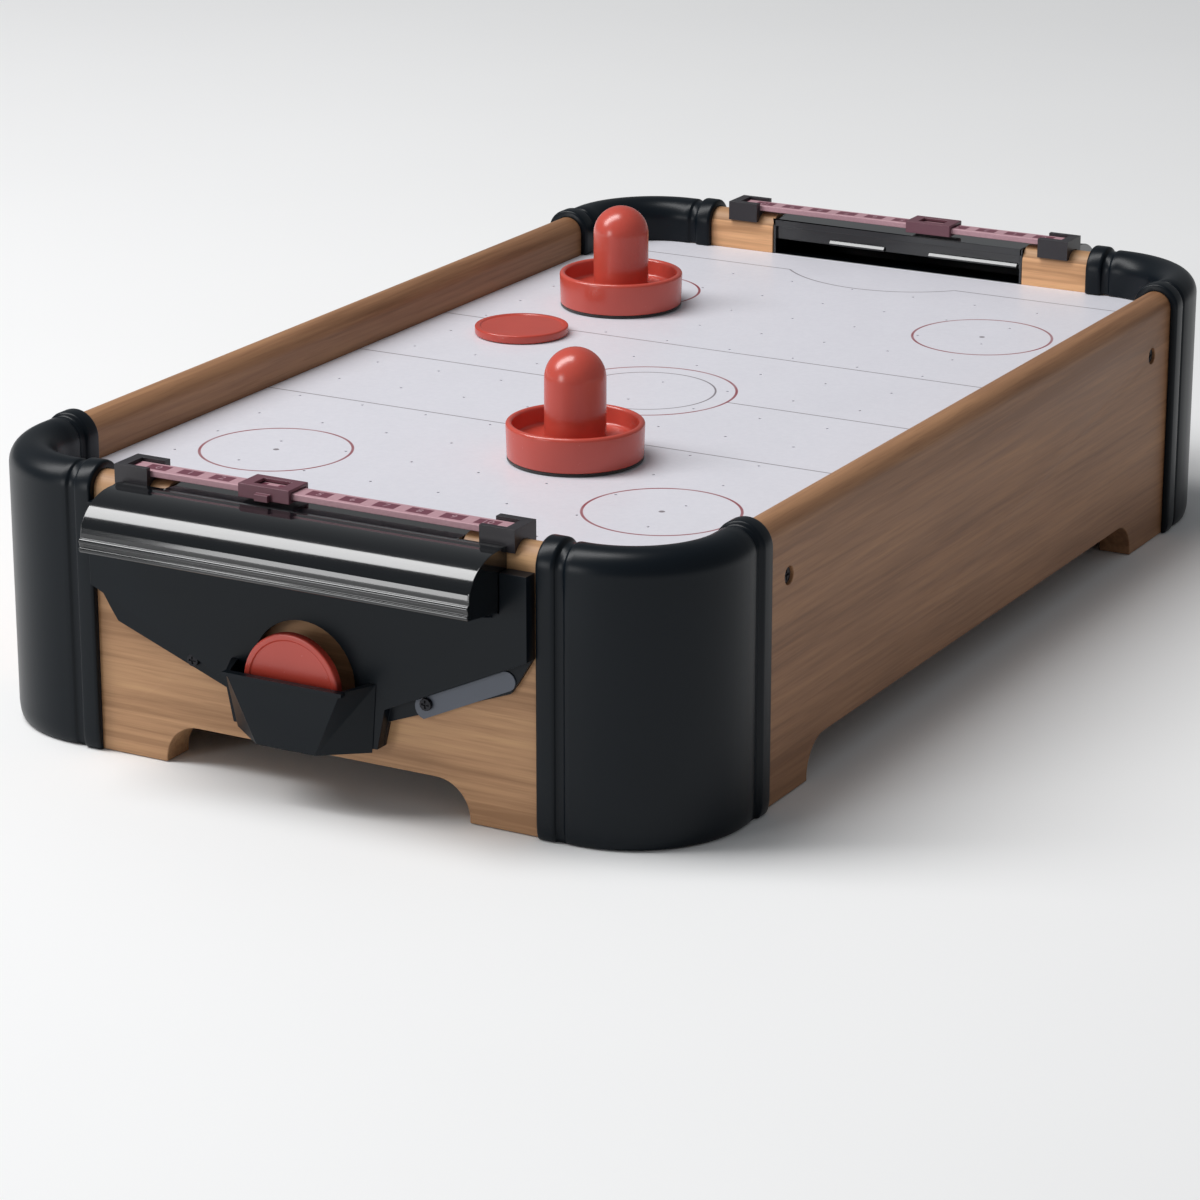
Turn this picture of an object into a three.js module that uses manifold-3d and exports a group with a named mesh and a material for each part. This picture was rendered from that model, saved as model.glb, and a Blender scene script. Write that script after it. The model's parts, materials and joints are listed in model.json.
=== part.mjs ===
// A 20-inch tabletop air hockey game: four veneered boards joined by moulded corner caps, a
// perforated playing field over an air chamber, a battery fan underneath, and at each end a
// goal mouth, a curved goal hood, a puck chute with a catch tray and a sliding score counter.
//
// Millimetres, +Z up. The origin is the middle of the footprint, on the table that the feet
// stand on. X runs across the game, Y along it. The front goal is at -Y.
import * as THREE from "three";
import { mergeVertices } from "three/addons/utils/BufferGeometryUtils.js";
import Module from "manifold-3d";

// ---- driving dimensions: the whole game ---------------------------------------------------
const LENGTH = 508; // over the outer faces of the two end boards
const WIDTH = 305; // over the outer faces of the two side boards
const HEIGHT = 108; // floor to the crest of the rounded rails
const BOARD = 14; // thickness of every board
const RAIL_HEIGHT = 17; // crest of the rails above the playing surface
const FIELD_THICK = 3;
const FIT = 0.3; // gap kept between pieces that touch
const OVERCUT = 1; // how far a cutting shape runs past the face it opens

// corner caps
const CORNER_RADIUS = 44; // outer corner of the boards' outline, inside each cap
const CAP_STRAIGHT_X = 14; // a cap's reach along the end board, past its bend
const CAP_STRAIGHT_Y = 17; // and along the side board
const CAP_PROUD = 2.2; // cap skin outside the board's face
const COLLAR_PROUD = 3.2;
const COLLAR_WIDTH = 7.4;
const GROOVE_PROUD = 1.4;
const GROOVE_WIDTH = 4;
const GROOVE_DRAFT = 0.4;

// feet, left between the cut-outs under the boards
const FOOT_CUT_HEIGHT = 15.3;
const FOOT_CUT_RADIUS = 14;
const SIDE_FOOT = 97; // length of a foot along the side, from the game's end
const END_FOOT = 86.9; // and along the end, from the game's side

// air chamber under the field
const CHAMBER_HEIGHT = 16;
const BASE_THICK = 3;
const CLEAT_WIDTH = 12;
const CLEAT_SETBACK = 5; // of a cleat's ends from the corner's bend
const AIR_HOLE_RADIUS = 0.6;
const AIR_HOLE_PITCH = 30;
const AIR_HOLE_SIDES = 4;
const AIR_HOLE_MARGIN_X = 10; // least distance of a hole from the field's edge
const AIR_HOLE_MARGIN_Y = 15;

// ---- driving dimensions: each goal end ------------------------------------------------------
const EAR_GAP = 1.3; // between the chute's ears and the caps
const EAR_WIDTH = 11.2; // of each ear, beside the hood
const GOAL_INSET = 19.25; // of the goal mouth, from the hood's cheeks
const SILL_THICK = 1.2; // lining of the goal mouth
const LINTEL_THICK = 3.2;

const HOOD_REACH = 28; // how far the hood stands out from the end board
const HOOD_TOP_DROP = 1; // drops are measured down from the crest of the rails
const HOOD_LIP_TOP_DROP = 14.5;
const HOOD_LIP_BOTTOM_DROP = 21;
const HOOD_WALL = 2.2;
const HOOD_CREST_RUN = 12; // flat stretch of the hood's curve next to the rail
const HOOD_BROW_DROP = 5; // fall of the curve before it turns down
const HOOD_BROW_IN = 3;
const LIP_PROUD = 1.2; // step of the lip in front of the curve
const LIP_ROUND = 1;

const CHUTE_ROOM = 0.8; // play of a puck between the end board and the chute's face
const CHUTE_WALL = 1.8;
const CHUTE_EAR_DROP = 9;
const CHUTE_SHOULDER_DROP = 24; // where the ramp under the hood starts
const CHUTE_SIDE_DROP = 40.7; // lower edge of the chute at its outer ends
const CHUTE_BOTTOM = 24; // lower edge of its middle part, over the floor
const CHUTE_V_RISE = 15.8; // from there up to the slanted lower edges
const CHUTE_BOTTOM_MARGIN = 9; // beside the arched opening, at the bottom
const CHUTE_V_MARGIN = 12.3; // and where the slanted edges start
const CHUTE_MOUTH_RISE = 8; // of the slot that lets the puck in, over the outer lower edge
const RAMP_THICK = 2;
const FLANGE_THICK = 2;
const FLANGE_DROP = 7; // how far the flange shows under the slanted edge
const FLANGE_END = 9; // of the flange's rounded end from the ear
const ARCH_CLEARANCE = 1.8; // round a puck that passes the arched opening

const TRAY_FLOOR_RISE = 0.6; // over the chute's lower edge
const TRAY_REACH = 20.5;
const TRAY_LIP_RISE = 4; // of the tray's lip over the middle of the puck in it
const TRAY_LIP_HEIGHT = 1.4;
const TRAY_LIP_PROUD = 1;
const TRAY_SIDE_ROOM = 4.3; // beside the puck, at the lip
const TRAY_TAPER = 12; // how much narrower the tray's half is at the floor
const TRAY_WALL = 2;

// score counter on the rail
const STRIP_WIDTH = 9;
const STRIP_THICK = 2.5;
const STRIP_RISE = 4; // top of the strip over the crest of the rail
const BRACKET_OVERHANG = 3; // past the hood's cheek
const BRACKET_LENGTH = 14.5;
const BRACKET_END = 4.7; // wall past the strip's end
const BRACKET_RISE = 5.2;
const BRACKET_SKIRT = 3.4; // how far the bracket reaches down the rail
const BRACKET_INWARD = 1.2; // how far it stands over the rail's inner face
const SLIDER_HALF = 11;
const SLIDER_WALL = 1.7;
const SLIDER_COVER = 1.3; // thickness over the strip
const SLIDER_TAB_HALF = 3;
const SLIDER_TAB_PROUD = 2;
const WINDOW_HALF_X = 6;
const WINDOW_HALF_Y = 3.4;
const FRONT_SCORE = -20; // where each score slider stands
const REAR_SCORE = 15.6;

// ---- driving dimensions: playing pieces -------------------------------------------------------
const PUCK_RADIUS = 20.2;
const PUCK_THICK = 3.6;
const PUCK_CHAMFER = 0.7;
const FIELD_PUCK_FROM_SIDE = 47.2; // centre of the puck from the left edge of the field
const FIELD_PUCK_FROM_END = 183.9; // and from its rear edge
const STRIKER_BASE_RADIUS = 27.1;
const STRIKER_BASE_HEIGHT = 13.9;
const STRIKER_RIM = 1.6; // radius of the rounded rim
const STRIKER_DISH = 3.2; // depth of the dish inside the rim
const STRIKER_FILLET = 1.4; // at the foot of the knob
const STRIKER_KNOB_RADIUS = 12.1;
const STRIKER_HEIGHT = 43;
const STRIKER_WALL = 2;
const FELT_THICK = 1;
const FELT_INSET = 0.4;
const GLUE_LINE = 0.1;
const FRONT_STRIKER_X = 22.9;
const FRONT_STRIKER_FROM_END = 139.7; // centre of the front striker from the field's front edge
const REAR_STRIKER_FROM_SIDE = 60.5; // of the rear striker from the field's left edge
const REAR_STRIKER_FROM_END = 119; // and from its rear edge

// ---- driving dimensions: fan, batteries, switch -------------------------------------------------
const IMPELLER_RADIUS = 28.5;
const IMPELLER_HEIGHT = 8;
const IMPELLER_TIP_GAP = 3.5; // to the housing's wall
const IMPELLER_TOP_GAP = 2.2; // to the top of the housing
const IMPELLER_MOTOR_GAP = 1.2;
const HUB_RADIUS = 9;
const BLADES = 7;
const BLADE_CHORD = 9.5;
const BLADE_THICK = 1.3;
const BLADE_TWIST = 0.6; // radians
const MOTOR_RADIUS = 12.5;
const MOTOR_LENGTH = 15;
const SHAFT_RADIUS = 1.2;
const SHAFT_SEAT = 5.5; // length of the shaft inside the motor
const SHAFT_SEAT_BOTTOM = 0.5; // left under the shaft's end in its bore
const HUB_SKIN = 2; // left over the shaft's bore in the hub
const FAN_WALL = 2;
const FAN_RIM = 6; // flange of the housing under the base board
const FAN_CUP_HEIGHT = 10;
const GRILLE_THICK = 2.5;
const GRILLE_BAR = 1.1; // half width of a spoke
const GRILLE_RING = 0.9; // half width of the ring
const SPOKES = 6;
const INLET_INSET = 2; // of the hole in the base board from the housing's wall
const WIRE_SLOT = 2; // half width of the slots that let wires in
const WIRE_SLOT_RISE = 3; // over the motor cup

const CELL_RADIUS = 13; // C cells
const CELL_LENGTH = 49;
const CELL_BUTTON_RADIUS = 3.5;
const CELL_BUTTON = 1.5;
const CELLS = 4;
const BATTERY_Y = 120;
const BATTERY_WALL = 2;
const BATTERY_COVER = 2;
const BATTERY_TAB = 8; // reach and half width of the two screw tabs
const BATTERY_TAB_THICK = 2.5;
const CONTACT_SPACE = 3; // between a cell's end and the box wall
const CONTACT_GAP = 0.8; // between a cell's end and its contact plate
const CONTACT_THICK = 1.2;
const GRIP_RIDGES = 3; // finger ridges on the cover
const GRIP_HALF = 14;
const GRIP_PITCH = 4;
const GRIP_WIDTH = 1.6;
const GRIP_PROUD = 1.2;
const GRIP_SETBACK = 6.4;

const SWITCH_Y = -40;
const SWITCH_DROP = 53; // middle of the switch under the crest of the rails
const SWITCH_LENGTH = 18.4;
const SWITCH_HEIGHT = 12.4;
const SWITCH_DEPTH = 22;
const SWITCH_RECESS = 8;
const BEZEL_PROUD = 1.8;
const BEZEL_WIDTH = 2;
const ROCKER_HALF = 6.9;
const ROCKER_SIDE_GAP = 0.7;
const ROCKER_INSET = 1.7; // of the recess from the body's upper and lower faces
const ROCKER_PIVOT_DEPTH = 2.5; // under the board's face
const ROCKER_END_PROUD = 3.4; // of the rocker's ends over its pivot
const ROCKER_MIDDLE_PROUD = 2.6;
const ROCKER_BACK = 2;
const ROCKER_TILT = 8; // degrees each way
const WIRE_RADIUS = 0.9;
const WIRE_DROP = 4; // of the wires' run under the base board

// ---- driving dimensions: screws -----------------------------------------------------------------
const SIDE_SCREW_FROM_END = 80;
const SIDE_SCREW_UNDER_FIELD = 6.4;
const SIDE_SCREW_HEAD = 3.2;
const SIDE_SCREW_SHANK = 1.6;
const SIDE_SCREW_BORE = 3.2; // depth of the bore that hides the head
const SIDE_SCREW_GRIP = 7.1; // how far the shank enters the cleat
const CLEAT_SKIN = 2; // left behind the screw's hole in the cleat
const CHUTE_SCREW_MARGIN = 15.7; // from the start of the slanted edge
const CHUTE_SCREW_HEAD = 2.4;
const CHUTE_SCREW_SHANK = 1.3;
const CHUTE_SCREW_LENGTH = 11;
const CHUTE_SCREW_LOWER = 0.2; // screw's height over the middle of the flange
const SCREW_HEAD_THICK = 1.8;
const SCREW_CROSS_DEPTH = 0.6;

// ---- derived sizes ------------------------------------------------------------------------------
const halfL = LENGTH / 2;
const halfW = WIDTH / 2;
const half = BOARD / 2;
const railCentre = HEIGHT - half; // centre of the rounded rail top
const railY = -(halfL - half); // middle of the front rail
const cornerX = halfW - CORNER_RADIUS;
const cornerY = halfL - CORNER_RADIUS;
const midRadius = CORNER_RADIUS - half;
const capInner = half + FIT;
const capSkin = half + CAP_PROUD;

const fieldTop = HEIGHT - RAIL_HEIGHT;
const fieldBottom = fieldTop - FIELD_THICK;
const fieldHalfX = halfW - BOARD - FIT;
const fieldHalfY = halfL - BOARD - FIT;
const baseTop = fieldBottom - CHAMBER_HEIGHT;
const baseBottom = baseTop - BASE_THICK;

const earHalf = halfW - CORNER_RADIUS - CAP_STRAIGHT_X - EAR_GAP; // the chute fills the end between two caps
const hoodHalf = earHalf - EAR_WIDTH;
const goalHalf = hoodHalf - GOAL_INSET;
const notchBottom = fieldTop - SILL_THICK - FIT;
const hoodTop = HEIGHT - HOOD_TOP_DROP;
const lipTop = HEIGHT - HOOD_LIP_TOP_DROP;
const lipBottom = HEIGHT - HOOD_LIP_BOTTOM_DROP;

const archRadius = PUCK_RADIUS + ARCH_CLEARANCE;
const chuteDepth = FIT + PUCK_THICK + CHUTE_ROOM + CHUTE_WALL; // front of the chute from the end board
const chutePlateBack = chuteDepth - CHUTE_WALL;
const chuteEarTop = HEIGHT - CHUTE_EAR_DROP;
const chuteShoulder = HEIGHT - CHUTE_SHOULDER_DROP;
const chuteSideLow = HEIGHT - CHUTE_SIDE_DROP;
const chuteBottomHalf = archRadius + CHUTE_BOTTOM_MARGIN;
const chuteVHalf = archRadius + CHUTE_V_MARGIN;
const chuteVLow = CHUTE_BOTTOM + CHUTE_V_RISE;
const vSlope = (chuteSideLow - chuteVLow) / (earHalf - chuteVHalf);
const flangeFront = FIT + FLANGE_THICK;
const chuteScrewX = chuteVHalf + CHUTE_SCREW_MARGIN;
const chuteScrewZ = chuteVLow + vSlope * CHUTE_SCREW_MARGIN - FLANGE_DROP / 2 + CHUTE_SCREW_LOWER;

const trayFloor = CHUTE_BOTTOM + TRAY_FLOOR_RISE;
const trayTop = trayFloor + PUCK_RADIUS + TRAY_LIP_RISE;
const trayHalfTop = PUCK_RADIUS + TRAY_SIDE_ROOM;
const trayHalfBottom = trayHalfTop - TRAY_TAPER;
const trayPuckZ = trayFloor + FIT + PUCK_RADIUS;
const trayPuckOut = (chuteDepth + TRAY_REACH) / 2;

const stripTop = HEIGHT + STRIP_RISE;
const bracketOuter = hoodHalf + BRACKET_OVERHANG;
const bracketInner = bracketOuter - BRACKET_LENGTH;
const bracketTop = HEIGHT + BRACKET_RISE;
const stripHalf = bracketOuter - BRACKET_END;
const channelHalf = STRIP_WIDTH / 2 + FIT;
const channelBottom = stripTop - STRIP_THICK - FIT;
const sliderBottom = HEIGHT + FIT; // the slider passes over the crest of the rail

const frontStriker = [FRONT_STRIKER_X, -(fieldHalfY - FRONT_STRIKER_FROM_END)];
const rearStriker = [-(fieldHalfX - REAR_STRIKER_FROM_SIDE), fieldHalfY - REAR_STRIKER_FROM_END];
const fieldPuckPlace = [-(fieldHalfX - FIELD_PUCK_FROM_SIDE), fieldHalfY - FIELD_PUCK_FROM_END];

const fanTop = baseBottom - FIT;
const impellerTop = fanTop - IMPELLER_TOP_GAP;
const impellerBottom = impellerTop - IMPELLER_HEIGHT;
const motorTop = impellerBottom - IMPELLER_MOTOR_GAP;
const motorBottom = motorTop - MOTOR_LENGTH;
const fanBottom = motorBottom - FIT - FAN_WALL;
const fanInner = IMPELLER_RADIUS + IMPELLER_TIP_GAP;
const fanRadius = fanInner + FAN_WALL;
const wireEntryZ = fanBottom + FAN_CUP_HEIGHT + WIRE_SLOT_RISE; // over the motor cup, under the impeller

const batteryTop = baseBottom - FIT;
const cellZ = batteryTop - BATTERY_WALL - FIT - CELL_RADIUS;
const cellPitch = 2 * (CELL_RADIUS + FIT);
const batteryBottom = cellZ - CELL_RADIUS - FIT;
const batteryHalfX = (CELLS * cellPitch) / 2 + BATTERY_WALL;
const batteryHalfY = CELL_LENGTH / 2 + CONTACT_SPACE + BATTERY_WALL;

const switchZ = HEIGHT - SWITCH_DROP;
const rockerPivotX = -(halfW - ROCKER_PIVOT_DEPTH);
const sideScrewY = halfL - SIDE_SCREW_FROM_END;
const sideScrewZ = fieldTop - SIDE_SCREW_UNDER_FIELD;

// ---- solids -------------------------------------------------------------------------------
const wasm = await Module();
wasm.setup();

// A closed three.js geometry as a manifold-3d solid.
function solid(geometry) {
  const bare = geometry.clone();
  bare.deleteAttribute("normal");
  bare.deleteAttribute("uv");
  const merged = mergeVertices(bare, 1e-4);
  return new wasm.Manifold(
    new wasm.Mesh({
      numProp: 3,
      vertProperties: new Float32Array(merged.attributes.position.array),
      triVerts: new Uint32Array(merged.index.array),
    }),
  );
}

function join(...geometries) {
  return geometries.map(solid).reduce((a, b) => a.add(b));
}

function cut(body, ...geometries) {
  return geometries.map(solid).reduce((a, b) => a.subtract(b), body);
}

// A manifold-3d solid as a flat-shaded three.js geometry.
function geometryOf(body) {
  const mesh = body.getMesh();
  const count = mesh.vertProperties.length / mesh.numProp;
  const positions = new Float32Array(count * 3);
  for (let i = 0; i < count; i++)
    positions.set(mesh.vertProperties.subarray(i * mesh.numProp, i * mesh.numProp + 3), i * 3);
  const geometry = new THREE.BufferGeometry();
  geometry.setAttribute("position", new THREE.BufferAttribute(positions, 3));
  geometry.setIndex(new THREE.BufferAttribute(new Uint32Array(mesh.triVerts), 1));
  const flat = geometry.toNonIndexed();
  flat.computeVertexNormals();
  return flat;
}

// ---- basic shapes -------------------------------------------------------------------------
function prism(shape, depth, curveSegments) {
  return new THREE.ExtrudeGeometry(shape, { depth, bevelEnabled: false, curveSegments });
}

// Extrudes an outline drawn in (y, z) along X, from one x to another.
function alongX(shape, from, to, curveSegments = 8) {
  const turn = new THREE.Matrix4().makeBasis(
    new THREE.Vector3(0, 1, 0),
    new THREE.Vector3(0, 0, 1),
    new THREE.Vector3(1, 0, 0),
  );
  return prism(shape, to - from, curveSegments).applyMatrix4(turn).translate(from, 0, 0);
}

// Extrudes an outline drawn in (x, z) along Y.
function alongY(shape, from, to, curveSegments = 8) {
  return prism(shape, to - from, curveSegments)
    .rotateX(Math.PI / 2)
    .translate(0, to, 0);
}

// Extrudes an outline drawn in (x, y) along Z.
function alongZ(shape, from, to, curveSegments = 8) {
  return prism(shape, to - from, curveSegments).translate(0, 0, from);
}

function block(x0, x1, y0, y1, z0, z1) {
  return new THREE.BoxGeometry(x1 - x0, y1 - y0, z1 - z0).translate(
    (x0 + x1) / 2,
    (y0 + y1) / 2,
    (z0 + z1) / 2,
  );
}

// A block given by its middle and half size along each axis.
function blockAt([x, y, z], [dx, dy, dz]) {
  return block(x - dx, x + dx, y - dy, y + dy, z - dz, z + dz);
}

function polygon(points) {
  return new THREE.Shape(points.map(([x, y]) => new THREE.Vector2(x, y)));
}

// An outline that is the same on both sides of x = 0, from its right half, bottom to top.
function mirrored(points) {
  const left = points.map(([x, y]) => [-x, y]).reverse();
  return polygon([...points, ...left]);
}

function roundedRectangle(halfX, halfY, radius) {
  const shape = new THREE.Shape();
  shape.absarc(halfX - radius, -halfY + radius, radius, -Math.PI / 2, 0, false);
  shape.absarc(halfX - radius, halfY - radius, radius, 0, Math.PI / 2, false);
  shape.absarc(-halfX + radius, halfY - radius, radius, Math.PI / 2, Math.PI, false);
  shape.absarc(-halfX + radius, -halfY + radius, radius, Math.PI, 1.5 * Math.PI, false);
  return shape;
}

// Points of an arc in a profile, from one angle to another in degrees.
function arc(cx, cz, r, from, to, steps) {
  const points = [];
  for (let i = 0; i <= steps; i++) {
    const a = THREE.MathUtils.degToRad(from + ((to - from) * i) / steps);
    points.push([cx + r * Math.cos(a), cz + r * Math.sin(a)]);
  }
  return points;
}

// A body of revolution about Z. The profile's outer side runs upwards, and a point that
// rounding leaves beside the axis is put on it.
function lathe(points, segments = 16) {
  const profile = points.map(([r, z]) => new THREE.Vector2(r < 1e-9 ? 0 : r, z));
  return new THREE.LatheGeometry(profile, segments).rotateX(Math.PI / 2);
}

function rod(radius, z0, z1, segments = 16) {
  return lathe([[0, z0], [radius, z0], [radius, z1], [0, z1]], segments);
}

// A round hole along X.
function holeX(radius, x0, x1, y, z) {
  return rod(radius, x0, x1, 12).rotateY(Math.PI / 2).translate(0, y, z);
}

// A round hole along Y.
function holeY(radius, y0, y1, x, z) {
  return rod(radius, y0, y1, 12).rotateX(-Math.PI / 2).translate(x, 0, z);
}

// A solid between two outlines with as many corners each, one above the other.
function loft(lower, upper, z0, z1) {
  const count = lower.length;
  const ring = [...lower.map(([x, y]) => [x, y, z0]), ...upper.map(([x, y]) => [x, y, z1])];
  const index = [];
  for (let i = 0; i < count; i++) {
    const next = (i + 1) % count;
    index.push(i, next, count + next, i, count + next, count + i);
  }
  const outline = lower.map(([x, y]) => new THREE.Vector2(x, y));
  for (const [a, b, c] of THREE.ShapeUtils.triangulateShape(outline, []))
    index.push(a, c, b, count + a, count + b, count + c);
  const geometry = new THREE.BufferGeometry();
  geometry.setAttribute("position", new THREE.Float32BufferAttribute(ring.flat(), 3));
  geometry.setIndex(index);
  return geometry.toNonIndexed();
}

// ---- looks and assembly ---------------------------------------------------------------------
const finish = {
  wood: { color: 0x9a7a58, roughness: 0.5, metalness: 0 },
  field: { color: 0xdcdae4, roughness: 0.3, metalness: 0 },
  hardboard: { color: 0x6e4f36, roughness: 0.8, metalness: 0 },
  cap: { color: 0x1e252c, roughness: 0.35, metalness: 0 },
  hood: { color: 0x14181c, roughness: 0.15, metalness: 0 },
  red: { color: 0xd8402a, roughness: 0.25, metalness: 0 },
  felt: { color: 0x2c2a2a, roughness: 0.95, metalness: 0 },
  strip: { color: 0x8a5a6a, roughness: 0.45, metalness: 0 },
  clip: { color: 0x3c3238, roughness: 0.4, metalness: 0 },
  steel: { color: 0x8c8c8e, roughness: 0.35, metalness: 1 },
  white: { color: 0xd9d6cc, roughness: 0.5, metalness: 0 },
  cell: { color: 0x3a4a3c, roughness: 0.4, metalness: 0.2 },
  brass: { color: 0xb09050, roughness: 0.35, metalness: 1 },
  wire: { color: 0x992222, roughness: 0.6, metalness: 0 },
};

const game = new THREE.Group();
const turned = new THREE.Group(); // what is drawn at +X and -Y stands here at -X and +Y
turned.rotation.z = Math.PI;
game.add(turned);

function add(group, name, geometry, look) {
  const mesh = new THREE.Mesh(geometry, new THREE.MeshStandardMaterial(finish[look]));
  mesh.name = name;
  group.add(mesh);
  return mesh;
}

// ---- boards ---------------------------------------------------------------------------------
// Cross-section of a board: straight sides under a fully rounded top, grown by a clearance.
function boardSection(centre, grow = 0, bottom = 0) {
  const r = half + grow;
  const shape = new THREE.Shape();
  shape.moveTo(centre - r, bottom);
  shape.lineTo(centre + r, bottom);
  shape.lineTo(centre + r, railCentre);
  shape.absarc(centre, railCentre, r, 0, Math.PI, false);
  return shape;
}

// The opening under a board that leaves a foot at each end.
function footCut(halfOpening) {
  const r = FOOT_CUT_RADIUS;
  const shape = new THREE.Shape();
  shape.moveTo(-halfOpening, -OVERCUT);
  shape.lineTo(halfOpening, -OVERCUT);
  shape.absarc(halfOpening - r, FOOT_CUT_HEIGHT - r, r, 0, Math.PI / 2, false);
  shape.absarc(-halfOpening + r, FOOT_CUT_HEIGHT - r, r, Math.PI / 2, Math.PI, false);
  return shape;
}

// Drawn for the right side. The left board, turned half round, has the switch's hole too.
function sideBoard(withSwitch) {
  const reach = cornerY - FIT;
  const inside = halfW - BOARD - OVERCUT;
  const outside = halfW + OVERCUT;
  const board = alongY(boardSection(halfW - half), -reach, reach, 10);
  const cuts = [alongX(footCut(halfL - SIDE_FOOT), inside, outside, 6)];
  for (const y of [-sideScrewY, sideScrewY]) {
    cuts.push(holeX(SIDE_SCREW_SHANK + FIT, inside, outside, y, sideScrewZ));
    cuts.push(holeX(SIDE_SCREW_HEAD + FIT, halfW - SIDE_SCREW_BORE, outside, y, sideScrewZ));
  }
  if (withSwitch) {
    const y = SWITCH_LENGTH / 2 + FIT;
    const z = SWITCH_HEIGHT / 2 + FIT;
    cuts.push(block(inside, outside, -SWITCH_Y - y, -SWITCH_Y + y, switchZ - z, switchZ + z));
  }
  return geometryOf(cut(solid(board), ...cuts));
}

function endBoard() {
  const reach = cornerX - FIT;
  const outside = -halfL - OVERCUT;
  const inside = -halfL + BOARD + OVERCUT;
  const board = alongX(boardSection(railY), -reach, reach, 10);
  const cuts = [
    alongY(footCut(halfW - END_FOOT), outside, inside, 6),
    block(-goalHalf, goalHalf, outside, inside, notchBottom, HEIGHT + OVERCUT),
  ];
  for (const x of [-chuteScrewX, chuteScrewX])
    cuts.push(holeY(CHUTE_SCREW_SHANK + FIT, outside, -halfL + CHUTE_SCREW_LENGTH - 1, x, chuteScrewZ));
  return geometryOf(cut(solid(board), ...cuts));
}

// ---- corner caps ----------------------------------------------------------------------------
// Section of a cap: an upside-down U over the rail, with its outer leg down to the floor and
// its inner leg down to the playing field.
function capSection() {
  const shape = new THREE.Shape();
  shape.moveTo(capSkin, 0);
  shape.lineTo(capSkin, railCentre);
  shape.absarc(0, railCentre, capSkin, 0, Math.PI, false);
  shape.lineTo(-capSkin, fieldTop + FIT);
  shape.lineTo(-capInner, fieldTop + FIT);
  shape.lineTo(-capInner, railCentre);
  shape.absarc(0, railCentre, capInner, Math.PI, 0, true);
  shape.lineTo(capInner, 0);
  return shape;
}

// Carries the cap's section round the corner at (+X, -Y). Each station is an angle round the
// corner, a straight run past that end of the bend, and the reach of the outer skin there.
// The section's x is the distance outwards from the boards' middle line.
function sweepCorner(stations) {
  const steps = stations.length - 1;
  const geometry = new THREE.ExtrudeGeometry(capSection(), {
    depth: steps,
    steps,
    bevelEnabled: false,
    curveSegments: 4,
  });
  const position = geometry.attributes.position;
  for (let i = 0; i < position.count; i++) {
    const [angle, run, reach] = stations[Math.round(position.getZ(i))];
    const out = position.getX(i);
    const rise = Math.max(0, position.getY(i) - railCentre);
    const isSkin = Math.hypot(out, rise) > (capSkin + capInner) / 2;
    const grow = isSkin ? reach / capSkin : 1;
    const r = midRadius + out * grow;
    position.setXYZ(
      i,
      cornerX + r * Math.cos(angle) + run * Math.sin(angle),
      -cornerY + r * Math.sin(angle) + run * Math.cos(angle),
      position.getY(i) + rise * (grow - 1),
    );
  }
  return geometry;
}

// The raised collar, the groove beside it and the start of the plain skin, from a cap's end.
function collarSteps(run) {
  const collar = half + COLLAR_PROUD;
  const groove = half + GROOVE_PROUD;
  return [
    [run, collar],
    [run - COLLAR_WIDTH, collar],
    [run - COLLAR_WIDTH - GROOVE_DRAFT, groove],
    [run - COLLAR_WIDTH - GROOVE_WIDTH + GROOVE_DRAFT, groove],
    [run - COLLAR_WIDTH - GROOVE_WIDTH, capSkin],
  ];
}

function cornerCap() {
  const bendSteps = 10;
  const quarter = -Math.PI / 2;
  const side = collarSteps(CAP_STRAIGHT_Y).map(([run, reach]) => [0, run, reach]);
  const end = collarSteps(CAP_STRAIGHT_X).map(([run, reach]) => [quarter, run, reach]);
  const bend = [];
  for (let i = 0; i <= bendSteps; i++) bend.push([(quarter * i) / bendSteps, 0, capSkin]);
  return sweepCorner([...side, ...bend, ...end.reverse()]);
}

// ---- playing field and air chamber ------------------------------------------------------------
// Outline of the boards that fit between the rails, rounded where the caps turn.
function fieldOutline() {
  return roundedRectangle(fieldHalfX, fieldHalfY, fieldHalfX - cornerX);
}

// One small air hole of the field as a path to cut out.
function airHole(x, y) {
  const corners = [];
  for (let k = 0; k < AIR_HOLE_SIDES; k++) {
    const angle = (2 * Math.PI * k) / AIR_HOLE_SIDES;
    const dx = AIR_HOLE_RADIUS * Math.cos(angle);
    const dy = AIR_HOLE_RADIUS * Math.sin(angle);
    corners.push(new THREE.Vector2(x + dx, y + dy));
  }
  return new THREE.Path(corners);
}

function playfield() {
  const outline = fieldOutline();
  const columns = Math.floor((fieldHalfX - AIR_HOLE_MARGIN_X) / AIR_HOLE_PITCH);
  const rows = Math.floor((fieldHalfY - AIR_HOLE_MARGIN_Y) / AIR_HOLE_PITCH + 0.5);
  for (let i = -columns; i <= columns; i++)
    for (let j = -rows; j < rows; j++)
      outline.holes.push(airHole(i * AIR_HOLE_PITCH, (j + 0.5) * AIR_HOLE_PITCH));
  return alongZ(outline, fieldBottom, fieldTop, 6);
}

function chamberBase() {
  const outline = fieldOutline();
  const inlet = new THREE.Path();
  inlet.absarc(0, 0, fanInner - INLET_INSET, 0, 2 * Math.PI, true);
  outline.holes.push(inlet);
  return alongZ(outline, baseBottom, baseTop, 6);
}

function sideCleat() {
  const inside = fieldHalfX - CLEAT_WIDTH;
  const reach = cornerY - CLEAT_SETBACK;
  const batten = block(inside, fieldHalfX, -reach, reach, baseTop + FIT, fieldBottom - FIT);
  const holes = [-sideScrewY, sideScrewY].map((y) =>
    holeX(SIDE_SCREW_SHANK + FIT, inside + CLEAT_SKIN, fieldHalfX + OVERCUT, y, sideScrewZ),
  );
  return geometryOf(cut(solid(batten), ...holes));
}

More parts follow.
